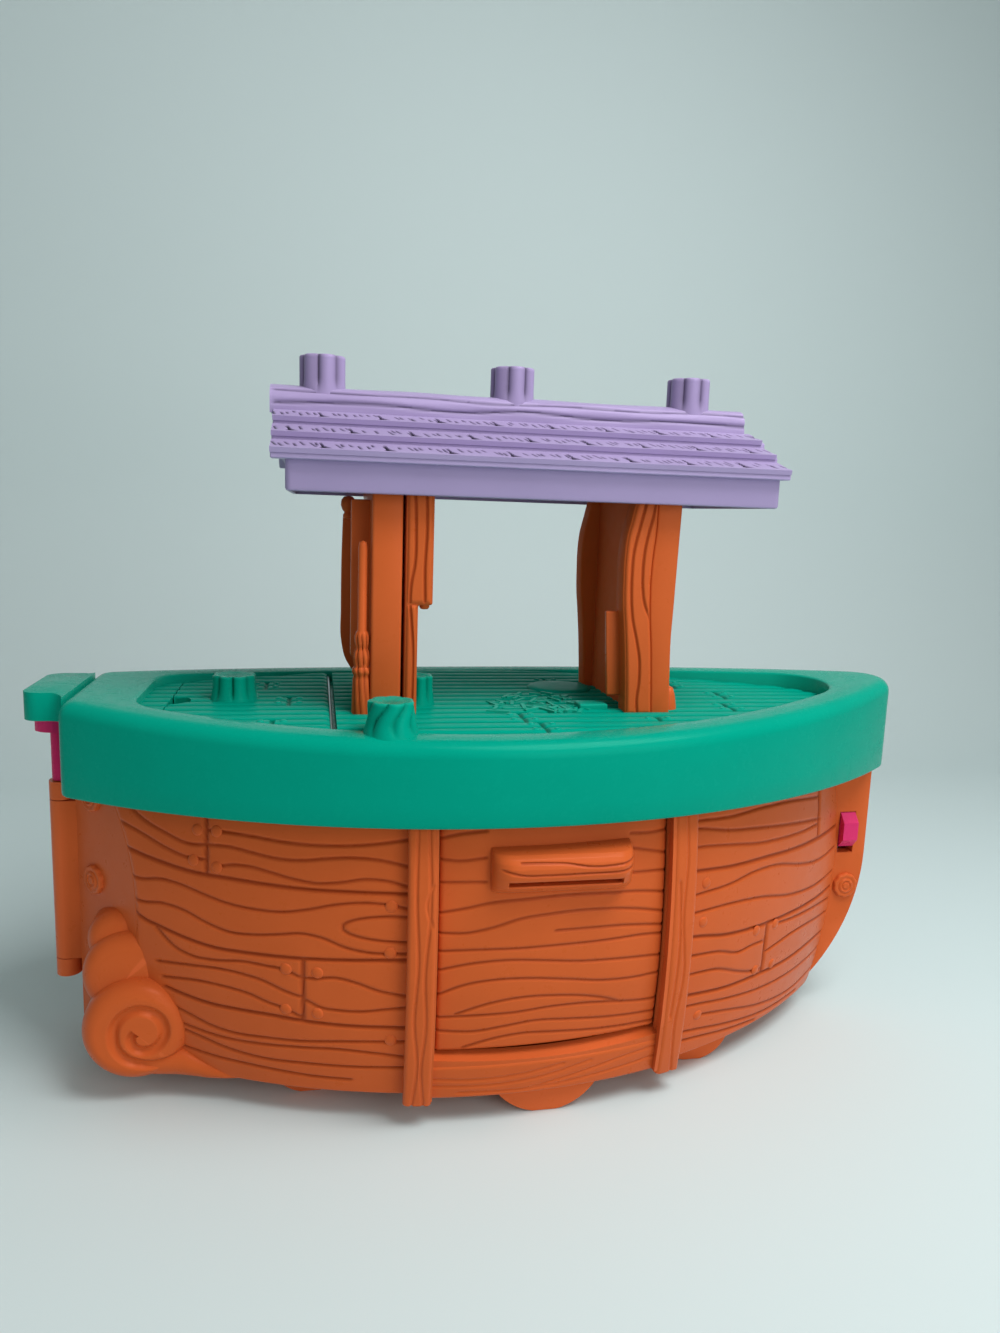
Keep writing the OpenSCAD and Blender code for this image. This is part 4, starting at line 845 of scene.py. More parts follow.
def planked_floor(name, x0, x1, inset, ends, fade=(0.0, 0.0), notch=None):
    """Floor of rounded fore-and-aft ridges, parted at plank ends and cut to the outline of the well."""
    t = (1 - np.cos(np.linspace(0, np.pi, 90))) / 2
    x = [x0 + (x1 - x0) * t]
    for place_x, *_ in ends:
        x.append(place_x + np.array([-1.5, -1.0, -0.5, 0.0, 0.5, 1.0, 1.5]))
    x += [x0 + np.arange(0.3, fade[0], 0.5), x1 - np.arange(0.3, fade[1], 0.5)]
    x = np.unique(np.round(np.concatenate(x), 3))
    x = x[(x >= x0) & (x <= x1)]
    y = np.arange(-9 * RIDGE_PITCH, 9 * RIDGE_PITCH + 0.01, RIDGE_PITCH / 12)
    xs, ys = np.meshgrid(x, y, indexing="ij")
    half = well_half(xs, inset)
    ys = np.clip(ys, -half, half)
    if notch:
        middle, radius = notch
        xs = np.maximum(xs, x0 + np.sqrt(np.clip(radius ** 2 - (ys - middle) ** 2, 0, None)))
    wave = np.abs((ys / RIDGE_PITCH) % 1.0 - 0.5) * 2
    rise = np.sqrt(1 - 0.98 * wave ** 2.6) * smooth_step(half - np.abs(ys), -0.3, 3.0)
    if fade[0]:
        rise = rise * np.sqrt(1 - (1 - np.clip((xs - x0) / fade[0], 0, 1)) ** 2)
    if fade[1]:
        rise = rise * np.sqrt(1 - (1 - np.clip((x1 - xs) / fade[1], 0, 1)) ** 2)
    # Painted shade in the hollows between the ridges and in the plank-end seams, where shade falls.
    dark = smooth_step(wave, 0.72, 1.0)
    for place_x, low, high in ends:
        seam = furrow(np.abs(xs - place_x), 1.4) * (ys > low) * (ys < high)
        rise = rise * (1 - 0.9 * seam)
        dark = np.maximum(dark, seam)
    base = np.stack([xs, ys, np.full_like(xs, DECK_Z)], -1)
    normal = np.broadcast_to(np.array([0.0, 0.0, 1.0]), base.shape)
    return relief(name, base, normal, RIDGE_UP * rise, DECK_WALL, green_tread(), 60, dark)


def plank_nails(name, ends, material):
    """Pairs of nail heads beside each plank end."""
    apart, radius, flatness, sunk = 4.5, 1.7, 0.45, 0.2
    spots = []
    for place_x, low, high in ends:
        for y in np.arange(low + RIDGE_PITCH / 2, high, RIDGE_PITCH):
            spots += [(x, y, DECK_Z + RIDGE_UP - sunk) for x in (place_x - apart, place_x + apart)]
    return domes(name, spots, [(0, 0, 1)] * len(spots), radius, flatness, material)


class ARK_OT_stage(bpy.types.Operator):
    """Pale floor, soft studio light and the camera"""
    bl_idname = "ark.stage"
    bl_label = "Stage"

    # Lamps as name, place and edge in millimetres, and power in watts, with the spot they face
    LAMPS = [
        ("key", (300, -330, 900), 500, 7.4), ("window", (540, -1050, 480), 800, 4.3),
        ("fill", (-800, -800, 500), 1000, 0.8)]
    LIT_SPOT = (0, 0, 130)
    # Camera's turn in degrees and place in millimetres, then its lens in pixels of the photograph
    YAW_PITCH_ROLL = (11.26, -9.24, 1.97)
    EYE = (-82.6, -423.6, 247.9)
    FOCAL_PX, WIDTH_PX, SENSOR_MM = 937.4, 1000, 36.0

    def execute(self, context):
        scene = context.scene
        scene.view_settings.view_transform = "Standard"
        world = bpy.data.worlds.new("studio")
        scene.world = world
        world.use_nodes = True
        tree = world.node_tree
        tree.nodes.clear()
        glow = add(tree, "ShaderNodeBackground", {"Color": (0.86, 0.93, 0.92, 1.0), "Strength": 0.26})
        add(tree, "ShaderNodeOutputWorld", {"Surface": glow.outputs["Background"]})
        self.floor(scene)
        self.lamps(scene)
        self.camera(scene)
        return {"FINISHED"}

    def floor(self, scene):
        """Floor that sweeps up into a backdrop."""
        mat = bpy.data.materials.new("matt studio sweep")
        mat.use_nodes = True
        shader = mat.node_tree.nodes["Principled BSDF"]
        shader.inputs["Base Color"].default_value = scene.ark_colours.floor
        shader.inputs["Roughness"].default_value = 0.7
        half, near, bend_y, bend_r, low, tall = 2600, -2200, 420, 300, -0.2, 2600
        turn = np.linspace(0, math.pi / 2, 14)
        y = np.concatenate([[near], bend_y + bend_r * np.sin(turn), [bend_y + bend_r]])
        z = np.concatenate([[low], bend_r + low - bend_r * np.cos(turn), [tall]])
        verts = [(x, b, c) for b, c in zip(y, z) for x in (-half, half)]
        faces = [(2 * i, 2 * i + 1, 2 * i + 3, 2 * i + 2) for i in range(len(y) - 1)]
        mesh = bpy.data.meshes.new("studio_sweep")
        mesh.from_pydata((np.array(verts) * MM).tolist(), [], faces)
        for face in mesh.polygons:
            face.use_smooth = True
        mesh.materials.append(mat)
        sweep = bpy.data.objects.new("studio_sweep", mesh)
        scene.collection.objects.link(sweep)

    def lamps(self, scene):
        """Broad key over the bow, a window on the near side and a low fill."""
        for name, spot, size, power in self.LAMPS:
            lamp = bpy.data.lights.new(name, "AREA")
            lamp.shape = "SQUARE"
            lamp.size = size * MM
            lamp.energy = power
            obj = bpy.data.objects.new(name, lamp)
            obj.location = Vector(spot) * MM
            aim = Vector(self.LIT_SPOT) * MM - obj.location
            obj.rotation_euler = aim.to_track_quat("-Z", "Y").to_euler()
            scene.collection.objects.link(obj)

    def camera(self, scene):
        """Camera where the photograph was taken from."""
        yaw, pitch, roll = (math.radians(a) for a in self.YAW_PITCH_ROLL)
        ahead = Vector((math.sin(yaw) * math.cos(pitch), math.cos(yaw) * math.cos(pitch), math.sin(pitch)))
        right = Vector((math.cos(yaw), -math.sin(yaw), 0))
        up = right.cross(ahead)
        across = right * math.cos(roll) + up * math.sin(roll)
        rise = up * math.cos(roll) - right * math.sin(roll)
        lens = bpy.data.cameras.new("photo_camera")
        lens.sensor_fit = "HORIZONTAL"
        lens.sensor_width = self.SENSOR_MM
        lens.lens = self.SENSOR_MM * self.FOCAL_PX / self.WIDTH_PX
        lens.clip_start = 0.01
        obj = bpy.data.objects.new("photo_camera", lens)
        turn = Matrix((across, rise, -ahead)).transposed()
        obj.matrix_world = Matrix.Translation(Vector(self.EYE) * MM) @ turn.to_4x4()
        scene.collection.objects.link(obj)
        scene.camera = obj


class ARK_OT_planking(bpy.types.Operator):
    """Carved planking, ribs, sill and nail heads of both hull halves"""
    bl_idname = "ark.planking"
    bl_label = "Hull planking"

    # Long grain of the ribs as (height, across) points
    AFT_GRAIN = [
        [(12, 3.2), (30, 4.6), (50, 3.0), (75, 4.0), (100, 3.0), (128, 3.4)],
        [(12, 7.6), (28, 6.2), (48, 7.4), (70, 6.6), (95, 8.2), (128, 7.6)],
        [(90, 9.0), (99, 7.0), (106, 9.2)]]
    FORE_GRAIN = [
        [(12, 6.5), (35, 5.0), (60, 6.8), (85, 4.6), (110, 5.6), (128, 5.0)],
        [(40, 2.4), (70, 3.6), (100, 2.2)]]

    def execute(self, context):
        lap, port_up, flatness, sunk = 0.5, 1.5, 0.32, 0.15
        aft_rib, fore_rib = DOOR_X[0] - RIB_W, DOOR_X[1]
        aft = {"veins": AFT_VEINS, "seams": AFT_SEAMS, "ends": AFT_ENDS, "knots": [AFT_KNOT]}
        fore = {"veins": FORE_VEINS, "seams": FORE_SEAMS, "ends": FORE_ENDS}
        for side, hand, body in HALVES:
            top = HULL_TOP + port_up if side > 0 else HULL_TOP
            panels = [
                ("aft", stern_edge, upright(aft_rib + lap), aft, (True, False), 120),
                ("fore", upright(fore_rib + RIB_W - lap), stem_edge, fore, (False, True), 130)]
            if side > 0:
                middle = upright(DOOR_X[0] - lap), upright(DOOR_X[1] + lap)
                panels.append(("mid", *middle, {"veins": MID_VEINS}, (False, False), 120))
            for part, start, end, carving, fade, columns in panels:
                panel = plank_panel(f"{hand}_{part}_planks", side, start, end, top, carving, fade, columns)
                place(panel, body)
            for part, x0, veins in (("aft", aft_rib, self.AFT_GRAIN), ("fore", fore_rib, self.FORE_GRAIN)):
                place(rib(f"{hand}_{part}_rib", x0, side, veins), body)
            spots, aims = nail_heads(side, AFT_NAILS + FORE_NAILS, sizes("plank") - sunk)
            heads = domes(f"{hand}_nail_heads", spots, aims, sizes("nail"), flatness, brown())
            place(heads, body)
        place(sill("ramp_sill", SILL_H + 0.5), "swing_hull")
        for node in ("port_hull", "starboard_hull"):
            coat(node, brown())
        return {"FINISHED"}


class ARK_OT_ramp(bpy.types.Operator):
    """Planked ramp door with its hooded handle"""
    bl_idname = "ark.ramp"
    bl_label = "Ramp door"

    # Where the hinge barrels start along the axis, with their shape as (along, radius) points
    BARREL_STARTS = (-47.2, 39.2)
    BARREL = ((0, 2.6), (0.6, 3.15), (7.4, 3.15), (8, 2.6))
    # Section of the handle's hood as (out, up) points, open at the finger slot or shut beside it
    HOOD = [
        (0, 119.9), (-84.0, 118.9), (-86.8, 118.1), (-88.6, 116.9), (-89.8, 115.2), (-90.3, 113.2),
        (-90.2, 110.6), (-89.8, 108.8)]
    SLOT = [(-89.2, 107.9), (-84.4, 107.9), (-84.4, 105.9), (-88.0, 105.7)]
    SHUT = [(-89.5, 108.1), (-89.2, 107.2), (-88.9, 106.4), (-88.6, 105.7)]
    FOOT = [(-88.3, 105.1), (-86.0, 102.9), (-82.5, 101.2), (0, 100.4)]
    # Grain lines on the hood as (along, up) points
    HOOD_GRAIN = [
        [(-11.3, 112.9), (-4, 111.0), (5.9, 110.7), (22.3, 110.9), (34.1, 111.1), (41.4, 111.8)],
        [(-4.7, 115.6), (5.2, 115.4), (13.7, 115.0), (23, 113.6), (34, 113.9), (42, 115.0)]]

    def execute(self, context):
        low, high = (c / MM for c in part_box("ramp_door"))
        x = np.linspace(DOOR_X[0] + 1, DOOR_X[1] - 1, 130)
        z = np.arange(low.z, high.z + 0.2, 0.5)
        xs, zs = np.meshgrid(x, z)
        base, normal = hull_skin(xs, zs)
        proud, swell, share, fall, ease, thick = 0.35, 0.35, 0.8, 0.9, 1.2, 3.0
        cut = carved(xs, zs, MID_VEINS)
        height = proud + swell * smooth_step(zs, 44, 60) - share * cut
        for gap in (zs - low.z, high.z - zs, xs - x[0], x[-1] - xs):
            height = height - fall * (1 - smooth_step(gap, -0.1, ease))
        # Painted shade: the carving's depth darkens the colour in the grain lines.
        panel = relief("ramp_planks", base, normal, height, thick, brown(), groove=cut / sizes("seam"))
        place(panel, "ramp", ["ramp_door"])
        place(self.handle(), "ramp")
        place(self.bosses(), "ramp")
        return {"FINISHED"}

    def bosses(self):
        """Barrels of the ramp's hinge."""
        joint = next(j for j in frame["joints"] if j["name"] == "ramp_drop")
        pivot = Vector(joint["pos_m"]) / MM
        axis = Vector(joint["axis"]).normalized()
        out = Vector((axis.y, -axis.x, 0))
        angle = circle(28)
        made = []
        for start in self.BARREL_STARTS:
            rings = []
            for s, r in self.BARREL:
                middle = pivot + axis * (start + s)
                rings.append([
                    middle + out * (r * math.cos(a)) + Vector((0, 0, r * math.sin(a))) for a in angle])
            made.append(loft("boss", rings, brown()))
        return join("ramp_hinge_bosses", made)

    def handle(self):
        """Hood with rounded corners and two grain lines over a thin finger slot."""
        left, right, corner, depth, slot_in, pitch = -15.2, 42.8, 8.5, 13.0, 6.0, 0.6
        middle_z, bedded, face_y, face_z = 110.0, 1.5, -88.5, 109.0
        step = np.sort(np.concatenate([
            corner * (1 - np.cos(np.linspace(0, np.pi / 2, 9))), [slot_in - 0.2, slot_in + 0.2],
            np.arange(corner + pitch, (right - left) / 2, pitch)]))
        rows, dark = [], []
        for x, gap in [(left + d, d) for d in step] + [(right - d, d) for d in step[::-1]]:
            shape = np.array(self.HOOD + (self.SHUT if gap < slot_in else self.SLOT) + self.FOOT)
            t = np.linspace(0, len(shape) - 1, 8 * (len(shape) - 1) + 1)
            base = hull_skin(np.array(x), np.array(middle_z))[0][1] + bedded
            shape[[0, -1], 0] = base
            y, z = (np.interp(t, np.arange(len(shape)), shape[:, k]) for k in (0, 1))
            bite = corner - gap if gap < corner else 0.0
            tuck = 1 - (corner - math.sqrt(corner ** 2 - bite ** 2)) / depth
            along = np.full_like(z, x)
            cut = deepest(line_cut(along, z, points, 0.8, 0.7) for points in self.HOOD_GRAIN)
            cut = cut * ((y < face_y) & (z > face_z))
            rows.append(np.column_stack([along, base + (y - base) * tuck + cut, z]))
            # dark holds painted shade in the two grain lines of the hood.
            dark.append(cut)
        return loft("ramp_handle", rows, brown(), crease=48, groove=np.concatenate(dark))


class ARK_OT_scrolls(bpy.types.Operator):
    """Rolled scrolls at both quarters"""
    bl_idname = "ark.scrolls"
    bl_label = "Scrolls"

    def execute(self, context):
        for side, hand, body in HALVES:
            made = [
                self.coil(side), self.tail(side),
                self.whorl(side, (-159.6, 52.4), 18.4, -39.4, -22.0),
                self.whorl(side, (-164.2, 65.2), 12.8, -32.6, -12.0)]
            place(join(f"{hand}_scroll", made), body)
        return {"FINISHED"}

    def coil(self, side):
        """Face of the roll, wound as a spiral towards its eye."""
        eye, hub, radius, edge = np.array([-153.6, 30.9]), np.array([-155.4, 31.5]), 21.9, 6.9
        turn = np.radians([0, 25, 55, 90, 135, 180, 225, 270, 315, 360, 405, 450, 495, 540, 580])
        wind = np.array([26, 20, 15.2, 12.2, 10.7, 10.0, 10.8, 11.5, 11.0, 9.9, 8.2, 6.2, 4.2, 2.6, 1.6])
        front, bulge, roll, groove_w = -39.0, 6.3, 2.3, 3.0
        angle = circle(144)
        way = np.stack([np.cos(angle), -np.sin(angle)], -1)
        lead = eye - hub
        along = way @ lead
        reach = np.sqrt(along ** 2 + radius ** 2 - lead @ lead) - along
        rows = []
        for t in np.concatenate([[0.004], np.linspace(0.02, 0.97, 64), [0.985, 0.995, 1.0]]):
            rho = reach * t
            near = np.full_like(rho, 99.0)
            for wrap in (0, 2 * np.pi):
                seen = angle + wrap
                gap = np.abs(rho - np.interp(seen, turn, wind))
                near = np.where((seen >= turn[1]) & (seen <= turn[-1]), np.minimum(near, gap), near)
            spot = eye + way * rho[:, None]
            out = np.clip(np.linalg.norm(spot - hub, axis=1) - (radius - edge), 0, edge) / edge
            proud = bulge + roll * (1 - furrow(near, groove_w))
            deep = front - proud * np.sqrt(np.clip(1 - out ** 2, 0, 1))
            rows.append(np.column_stack([spot[:, 0], -side * deep, spot[:, 1]]))
        for depth in (-34.0, -29.0):
            rows.append(np.column_stack([rows[-1][:, 0], np.full_like(angle, -side * depth), rows[-1][:, 2]]))
        return loft("coil", rows, brown(), crease=70)

    def whorl(self, side, middle, radius, front, back):
        """Round-edged turn of the scroll behind its face."""
        angle = circle(72)
        edge = 7.5
        shape = [(0.05, front - 0.8), (radius - edge, front - 0.3)]
        shape += [(radius - edge + edge * math.sin(a), front + edge - edge * math.cos(a))
                  for a in np.linspace(0.15, math.pi / 2, 10)]
        shape += [(radius, back), (0.05, back)]
        rows = [level_ring(*middle, r, -side * y, angle)[:, [0, 2, 1]] for r, y in shape]
        return loft("whorl", rows, brown(), crease=70)

    def tail(self, side):
        """Tapered end of the roll, drawn out along the hull's lower edge."""
        x = np.linspace(-154, -113, 30)
        low = np.interp(x, [-154, -140, -127, -119, -113], [9.6, 9.4, 9.8, 11.0, 12.2])
        high = np.interp(x, [-154, -140, -135, -127, -120, -113], [24, 23.4, 21.6, 17.2, 14.4, 12.9])
        front = np.interp(x, [-154, -140, -130, -120, -113], [-45.6, -47.2, -49.0, -51.4, -53.0])
        angle = circle(32)
        rows = []
        for a, lo, hi, f in zip(x, low, high, front):
            tall, deep = (hi - lo) / 2, 0.55 * (hi - lo)
            rows.append(np.column_stack([
                np.full_like(angle, a), -side * (f + deep - deep * np.cos(angle)),
                (hi + lo) / 2 + tall * np.sin(angle)]))
        return loft("tail", rows, brown(), crease=70)


class ARK_OT_rosettes(bpy.types.Operator):
    """Ringed rosettes on the end plates"""
    bl_idname = "ark.rosettes"
    bl_label = "Rosettes"

    # Middles of the rosettes on the stern plate, at two heights, and on the stem plate
    STERN_SPOT, STERN_Z = (-175.58, 14.88), (87.0, 123.8)
    STEM_SPOT = (186.9, 4.5, 64.0)
    # Section of a rosette as (radius, height) points, and what both are multiplied by
    SECTION = (
        (5.0, -0.6), (5.0, 0.9), (4.7, 1.35), (4.2, 1.5), (3.7, 1.3), (3.3, 1.25), (3.0, 1.6), (2.4, 1.75),
        (2.0, 1.4), (1.6, 1.35), (1.3, 1.7), (0.8, 1.8), (0.05, 1.6))
    WIDER, TALLER = 1.22, 1.3

    def execute(self, context):
        slant = Vector((-PLATE_OUT, -PLATE_RUN, 0)).normalized()
        for side, hand, body in HALVES:
            x, y = self.STERN_SPOT
            made = [self.rosette((x, side * y, z), (slant.x, -side * slant.y, 0)) for z in self.STERN_Z]
            x, y, z = self.STEM_SPOT
            made.append(self.rosette((x, side * y, z), (0, side, 0)))
            place(join(f"{hand}_rosettes", made), body)
        return {"FINISHED"}

    def rosette(self, spot, normal):
        """Scalloped boss with two rings round a dimple."""
        out = np.array(normal, float)
        across = np.cross([0, 0, 1], out)
        angle = circle(60)
        rows = []
        for r, h in self.SECTION:
            scallop = self.WIDER * r * (1 + 0.07 * np.abs(np.sin(angle * 5)) * (r > 3.5))
            rows.append(np.array(spot) + np.outer(scallop * np.cos(angle), across)
                        + np.outer(scallop * np.sin(angle), [0, 0, 1]) + out * self.TALLER * h)
        return loft("rosette", rows, brown(), crease=50)


class ARK_OT_deck(bpy.types.Operator):
    """Rim, planked floor, tongue and stumps of the deck"""
    bl_idname = "ark.deck"
    bl_label = "Deck"

    # Plank ends on the floor, as (along, low edge, high edge)
    PLANK_ENDS = [
        (3.0, -55.2, -36.8), (8.0, -73.6, -55.2), (61.5, -55.2, -46.0), (34.0, 18.4, 46.0),
        (-34.0, 36.8, 64.4), (112.0, -9.2, 9.2), (97.0, 18.4, 36.8), (104.0, -36.8, -18.4),
        (-52.0, -27.6, -9.2)]

    def execute(self, context):
        place(deck_shell(), "ark", ["deck"])
        lap, shelf_lap, stump_low, stump_top = 0.4, 0.38, DECK_Z - 1, 176.5
        _, bow, nose = well_arc(-lap)
        for made in (
                planked_floor("deck_floor", HATCH_X[1], nose + bow - 0.02, -lap, self.PLANK_ENDS),
                planked_floor("deck_shelf", FLOOR_AFT - shelf_lap, HATCH_X[0], -lap, []),
                plank_nails("deck_nail_heads", self.PLANK_ENDS, green()), self.tongue(), self.ledge(),
                stump("rim_stump", -54.4, -72.0, stump_low, stump_top, 9.0, green(), 2.8, 7, 0.3, 0.35),
                stump("wall_stump", -38.6, -16.0, stump_low, stump_top, 7.0, green(), 1.4, 7), self.pad()):
            place(made, "ark")
        return {"FINISHED"}

    def tongue(self):
        """Rounded tongue over the stern hinge, running into the rim by an easy curve."""
        half, corner, flare, low, top = 23.7, 7.0, 6.5, 158.6, 170.3
        root, ease_aft, ease_fore, moved_z = TRANSOM_X + 0.5, -188.0, -177.0, 164.0
        outline = [(root, -half - flare)]
        for a in np.radians(np.linspace(90, 0, 9)):
            outline.append((root - flare + flare * math.sin(a), -half - flare + flare * math.cos(a)))
        for a in np.radians(np.linspace(-90, -180, 9)):
            outline.append((TONGUE_X + corner + corner * math.cos(a), -half + corner + corner * math.sin(a)))
        outline += [(x, -y) for x, y in reversed(outline)]
        slab = prism("deck_tongue", outline, (low, top), 2, green(), 3.0)
        for vert in slab.data.vertices:
            x, z = vert.co.x / MM, vert.co.z / MM
            if z > moved_z:
                sunk = smooth_step(x, ease_aft, ease_fore) * (top - sheer(ease_fore) + 0.5)
                vert.co.z = (z - float(sunk)) * MM
        return slab

    def ledge(self):
        """Ledge that the hatch rests on."""
        low, high, out, inside = 157.0, 159.0, 4, -5

        def frame_ring(grow, z):
            xs = np.linspace(HATCH_X[0] - grow, HATCH_X[1] + grow, 40)
            half = well_half(xs, -grow)
            pts = list(zip(xs, -half)) + list(zip(xs[::-1], half[::-1]))
            return np.column_stack([np.array(pts), np.full(len(pts), z)])

        rings = [frame_ring(g, z) for g, z in ((out, low), (out, high), (inside, high), (inside, low))]
        return loft("hatch_ledge", rings, green(), closed=True)

    def pad(self):
        """Low oval pad, a block and a scatter of straw on the floor inside the cabin."""
        angle = circle(48)
        x, y, half_x, half_y, straws = 36, 20, 16, 15, 60
        rings = [
            np.column_stack([
                x + half_x * r * np.cos(angle), y + half_y * r * np.sin(angle),
                np.full_like(angle, DECK_Z + h)])
            for r, h in ((1.02, -0.4), (1.0, 1.4), (0.95, 2.1), (0.8, 2.4), (0.4, 2.5), (0.04, 2.5))]
        block = [(32.0, -32.0), (45.0, -32.0), (45.0, -22.0), (32.0, -22.0)]
        made = [loft("pad", rings, green_tread()),
                prism("block", block, (DECK_Z - 0.4, DECK_Z + 3.6), 2, green_tread(), 0.9)]
        draw = np.random.default_rng(21)
        for _ in range(straws):
            x, y = draw.uniform(-6, 34), draw.uniform(-36, 4)
            long, wide, turn = draw.uniform(2.0, 5.5), draw.uniform(0.5, 0.9), draw.uniform(0, math.pi)
            c, s = math.cos(turn), math.sin(turn)
            top = DECK_Z + RIDGE_UP + draw.uniform(0.2, 0.9)
            flat = [(x + c * a - s * b, y + s * a + c * b) for a, b in (
                (-long, -wide), (long, -wide), (long, wide), (-long, wide))]
            verts = [(px, py, z) for z in (DECK_Z - 0.3, top) for px, py in flat]
            faces = [(0, 3, 2, 1), (4, 5, 6, 7), (0, 1, 5, 4), (1, 2, 6, 5), (2, 3, 7, 6), (3, 0, 4, 7)]
            made.append(piece("straw", verts, faces, green_tread()))
        return join("deck_straw_pad", made)


class ARK_OT_hatch(bpy.types.Operator):
    """Lift-up hatch with plank ridges and a stump"""
    bl_idname = "ark.hatch"
    bl_label = "Hatch"

    # Plank ends on the hatch, as (along, low edge, high edge)
    PLANK_ENDS = [(-94.2, -18.4, 0.0), (-99.7, -64.4, -46.0), (-105.7, 18.4, 36.8)]

    def execute(self, context):
        x0, x1 = HATCH_X[0] + 0.5, HATCH_X[1] - 2.6
        plate = planked_floor("hatch_plate", x0, x1, 0.6, self.PLANK_ENDS, (0.0, 3.0), (-8.0, 8.2))
        place(plate, "hatch", ["deck_hatch"])
        place(plank_nails("hatch_nail_heads", self.PLANK_ENDS, green()), "hatch")
        post = stump("hatch_stump", -117.8, -3.0, DECK_Z - 1, 174.5, 9.2, green(), 1.9, 8)
        place(post, "hatch")
        return {"FINISHED"}


class ARK_OT_cabin(bpy.types.Operator):
    """Cabin walls with moulded grain, a broom and a low rail"""
    bl_idname = "ark.cabin"
    bl_label = "Cabin"

    # Edge of the aft wall's wing as (height, along) points
    WING = [(170.3, -65.4), (175, -68.2), (184.6, -70.6), (200, -70.8), (223, -70.7), (245, -70.1)]
    # Turned shapes as (radius, height) points
    BROOM = [
        (0.1, 162.9), (3.9, 162.9), (4.3, 164.0), (4.1, 170.0), (3.8, 178.0), (3.3, 179.6), (3.9, 180.4),
        (4.1, 181.4), (3.9, 182.6), (3.2, 183.2), (3.6, 185.0), (3.7, 187.6), (3.2, 189.8), (2.6, 190.8),
        (2.8, 191.6), (3.2, 193.5), (3.2, 196.0), (2.6, 197.6), (1.9, 198.4), (1.9, 232.5), (1.5, 234.6),
        (0.1, 235.4)]
    KNOB = [
        (0.1, 243.0), (2.2, 243.4), (2.6, 244.8), (1.9, 246.2), (2.9, 247.4), (3.6, 249.6), (3.3, 252.0),
        (2.0, 253.6), (0.1, 254.0)]
    # Grain of the aft wall's inner half as (height, along) points: a long vein and one above the step
    STILE_VEINS = [
        [(163, -43.2), (172, -43.0), (192, -43.1), (202, -43.9), (211, -44.6), (219, -44.2), (225, -43.1),
         (241, -42.7), (262, -43.4)],
        [(211, -38.5), (224, -38.8), (241, -38.2), (262, -38.8)]]
    # Edges and grain of the fore wall's posts as (height, along) points
    POST_AFT = [
        (162, 50.9), (181, 49.9), (191, 49.2), (201, 48.3), (212, 47.2), (221, 46.9), (230, 46.8),
        (240.5, 47.6), (247.6, 49.2), (262.5, 52.6)]
    POST_SEAM = [
        (162, 63.1), (181, 62.0), (194.4, 61.1), (204.5, 60.1), (211, 59.7), (221, 59.4), (231.7, 59.8),
        (243.5, 60.8), (252.5, 60.9), (262.5, 61.0)]
    POST_FORE = [(162, 71.4), (181, 70.7), (197, 70.3), (208, 70.6), (221, 70.9), (241, 71.4), (262.5, 72.0)]
    POST_VEINS = [
        [(163, 56.2), (168.5, 55.6), (177.4, 56.2), (187.7, 55.7), (195.7, 54.0), (205, 51.7), (214.4, 50.6),
         (223.6, 50.3), (234, 50.7), (243, 52.5), (250.4, 54.2), (261, 56.4)],
        [(205, 59.7), (211, 56.9), (217.8, 55.5), (224.4, 55.1), (234, 55.5), (242.7, 57.0), (248.6, 58.4),
         (261, 60.0)]]

    def execute(self, context):
        self.aft_outer()
        self.aft_inner()
        self.fore_inner()
        self.fore_outer()
        return {"FINISHED"}

    def grain(self, name, aft, fore, heights, y, side, veins):
        """Carved grain on the end of a wall, between two edges given as (height, along) points."""
        z = np.arange(heights[0], heights[1] + 0.1, 0.8)
        s = np.linspace(0, 1, 44)
        x0, x1 = (np.interp(z, *bend(edge))[:, None] for edge in (aft, fore))
        xs = x0 * (1 - s) + x1 * s
        zs = z[:, None] + 0 * xs
        vein_w, vein, proud, ease, root = 0.9, 0.8, 0.9, 1.0, 0.4
        cut = deepest(line_cut(zs, xs, points, vein_w, vein) for points in veins)
        base = np.stack([xs, np.full_like(xs, y), zs], -1)
        normal = np.zeros_like(base)
        normal[..., 1] = side
        edge = np.minimum(np.minimum(xs - x0, x1 - xs), np.minimum(zs - heights[0], heights[1] - zs))
        height = (proud - cut) * np.sqrt(smooth_step(edge, -0.2, ease))
        # Painted shade: the vein depth darkens the colour in the carved grain.
        return relief(name, base, normal, height, root, brown(), groove=cut)

    def upright_edge(self, points, low, high):
        """Smooth edge of a board as (along, up) points."""
        z = np.linspace(low, high, 34)
        return list(zip(np.interp(z, *bend(points)), z))

    def turned(self, name, x, y, shape, flutes=()):
        """Turned shape about an upright axis, fluted over a range of heights."""
        angle = circle(48)
        count, twist, width, deep = 9, 0.03, 0.2, 0.7
        rings, dark = [], []
        for r, z in shape:
            cut = np.zeros_like(angle)
            if flutes and flutes[0] < z < flutes[1]:
                cut = furrow(np.abs((angle * count / (2 * np.pi) + twist * z) % 1.0 - 0.5), width)
            rings.append(level_ring(x, y, r - deep * cut, z, angle))
            # dark holds painted shade in the flutes.
            dark.append(cut)
        return loft(name, rings, brown(), crease=60, groove=np.concatenate(dark))

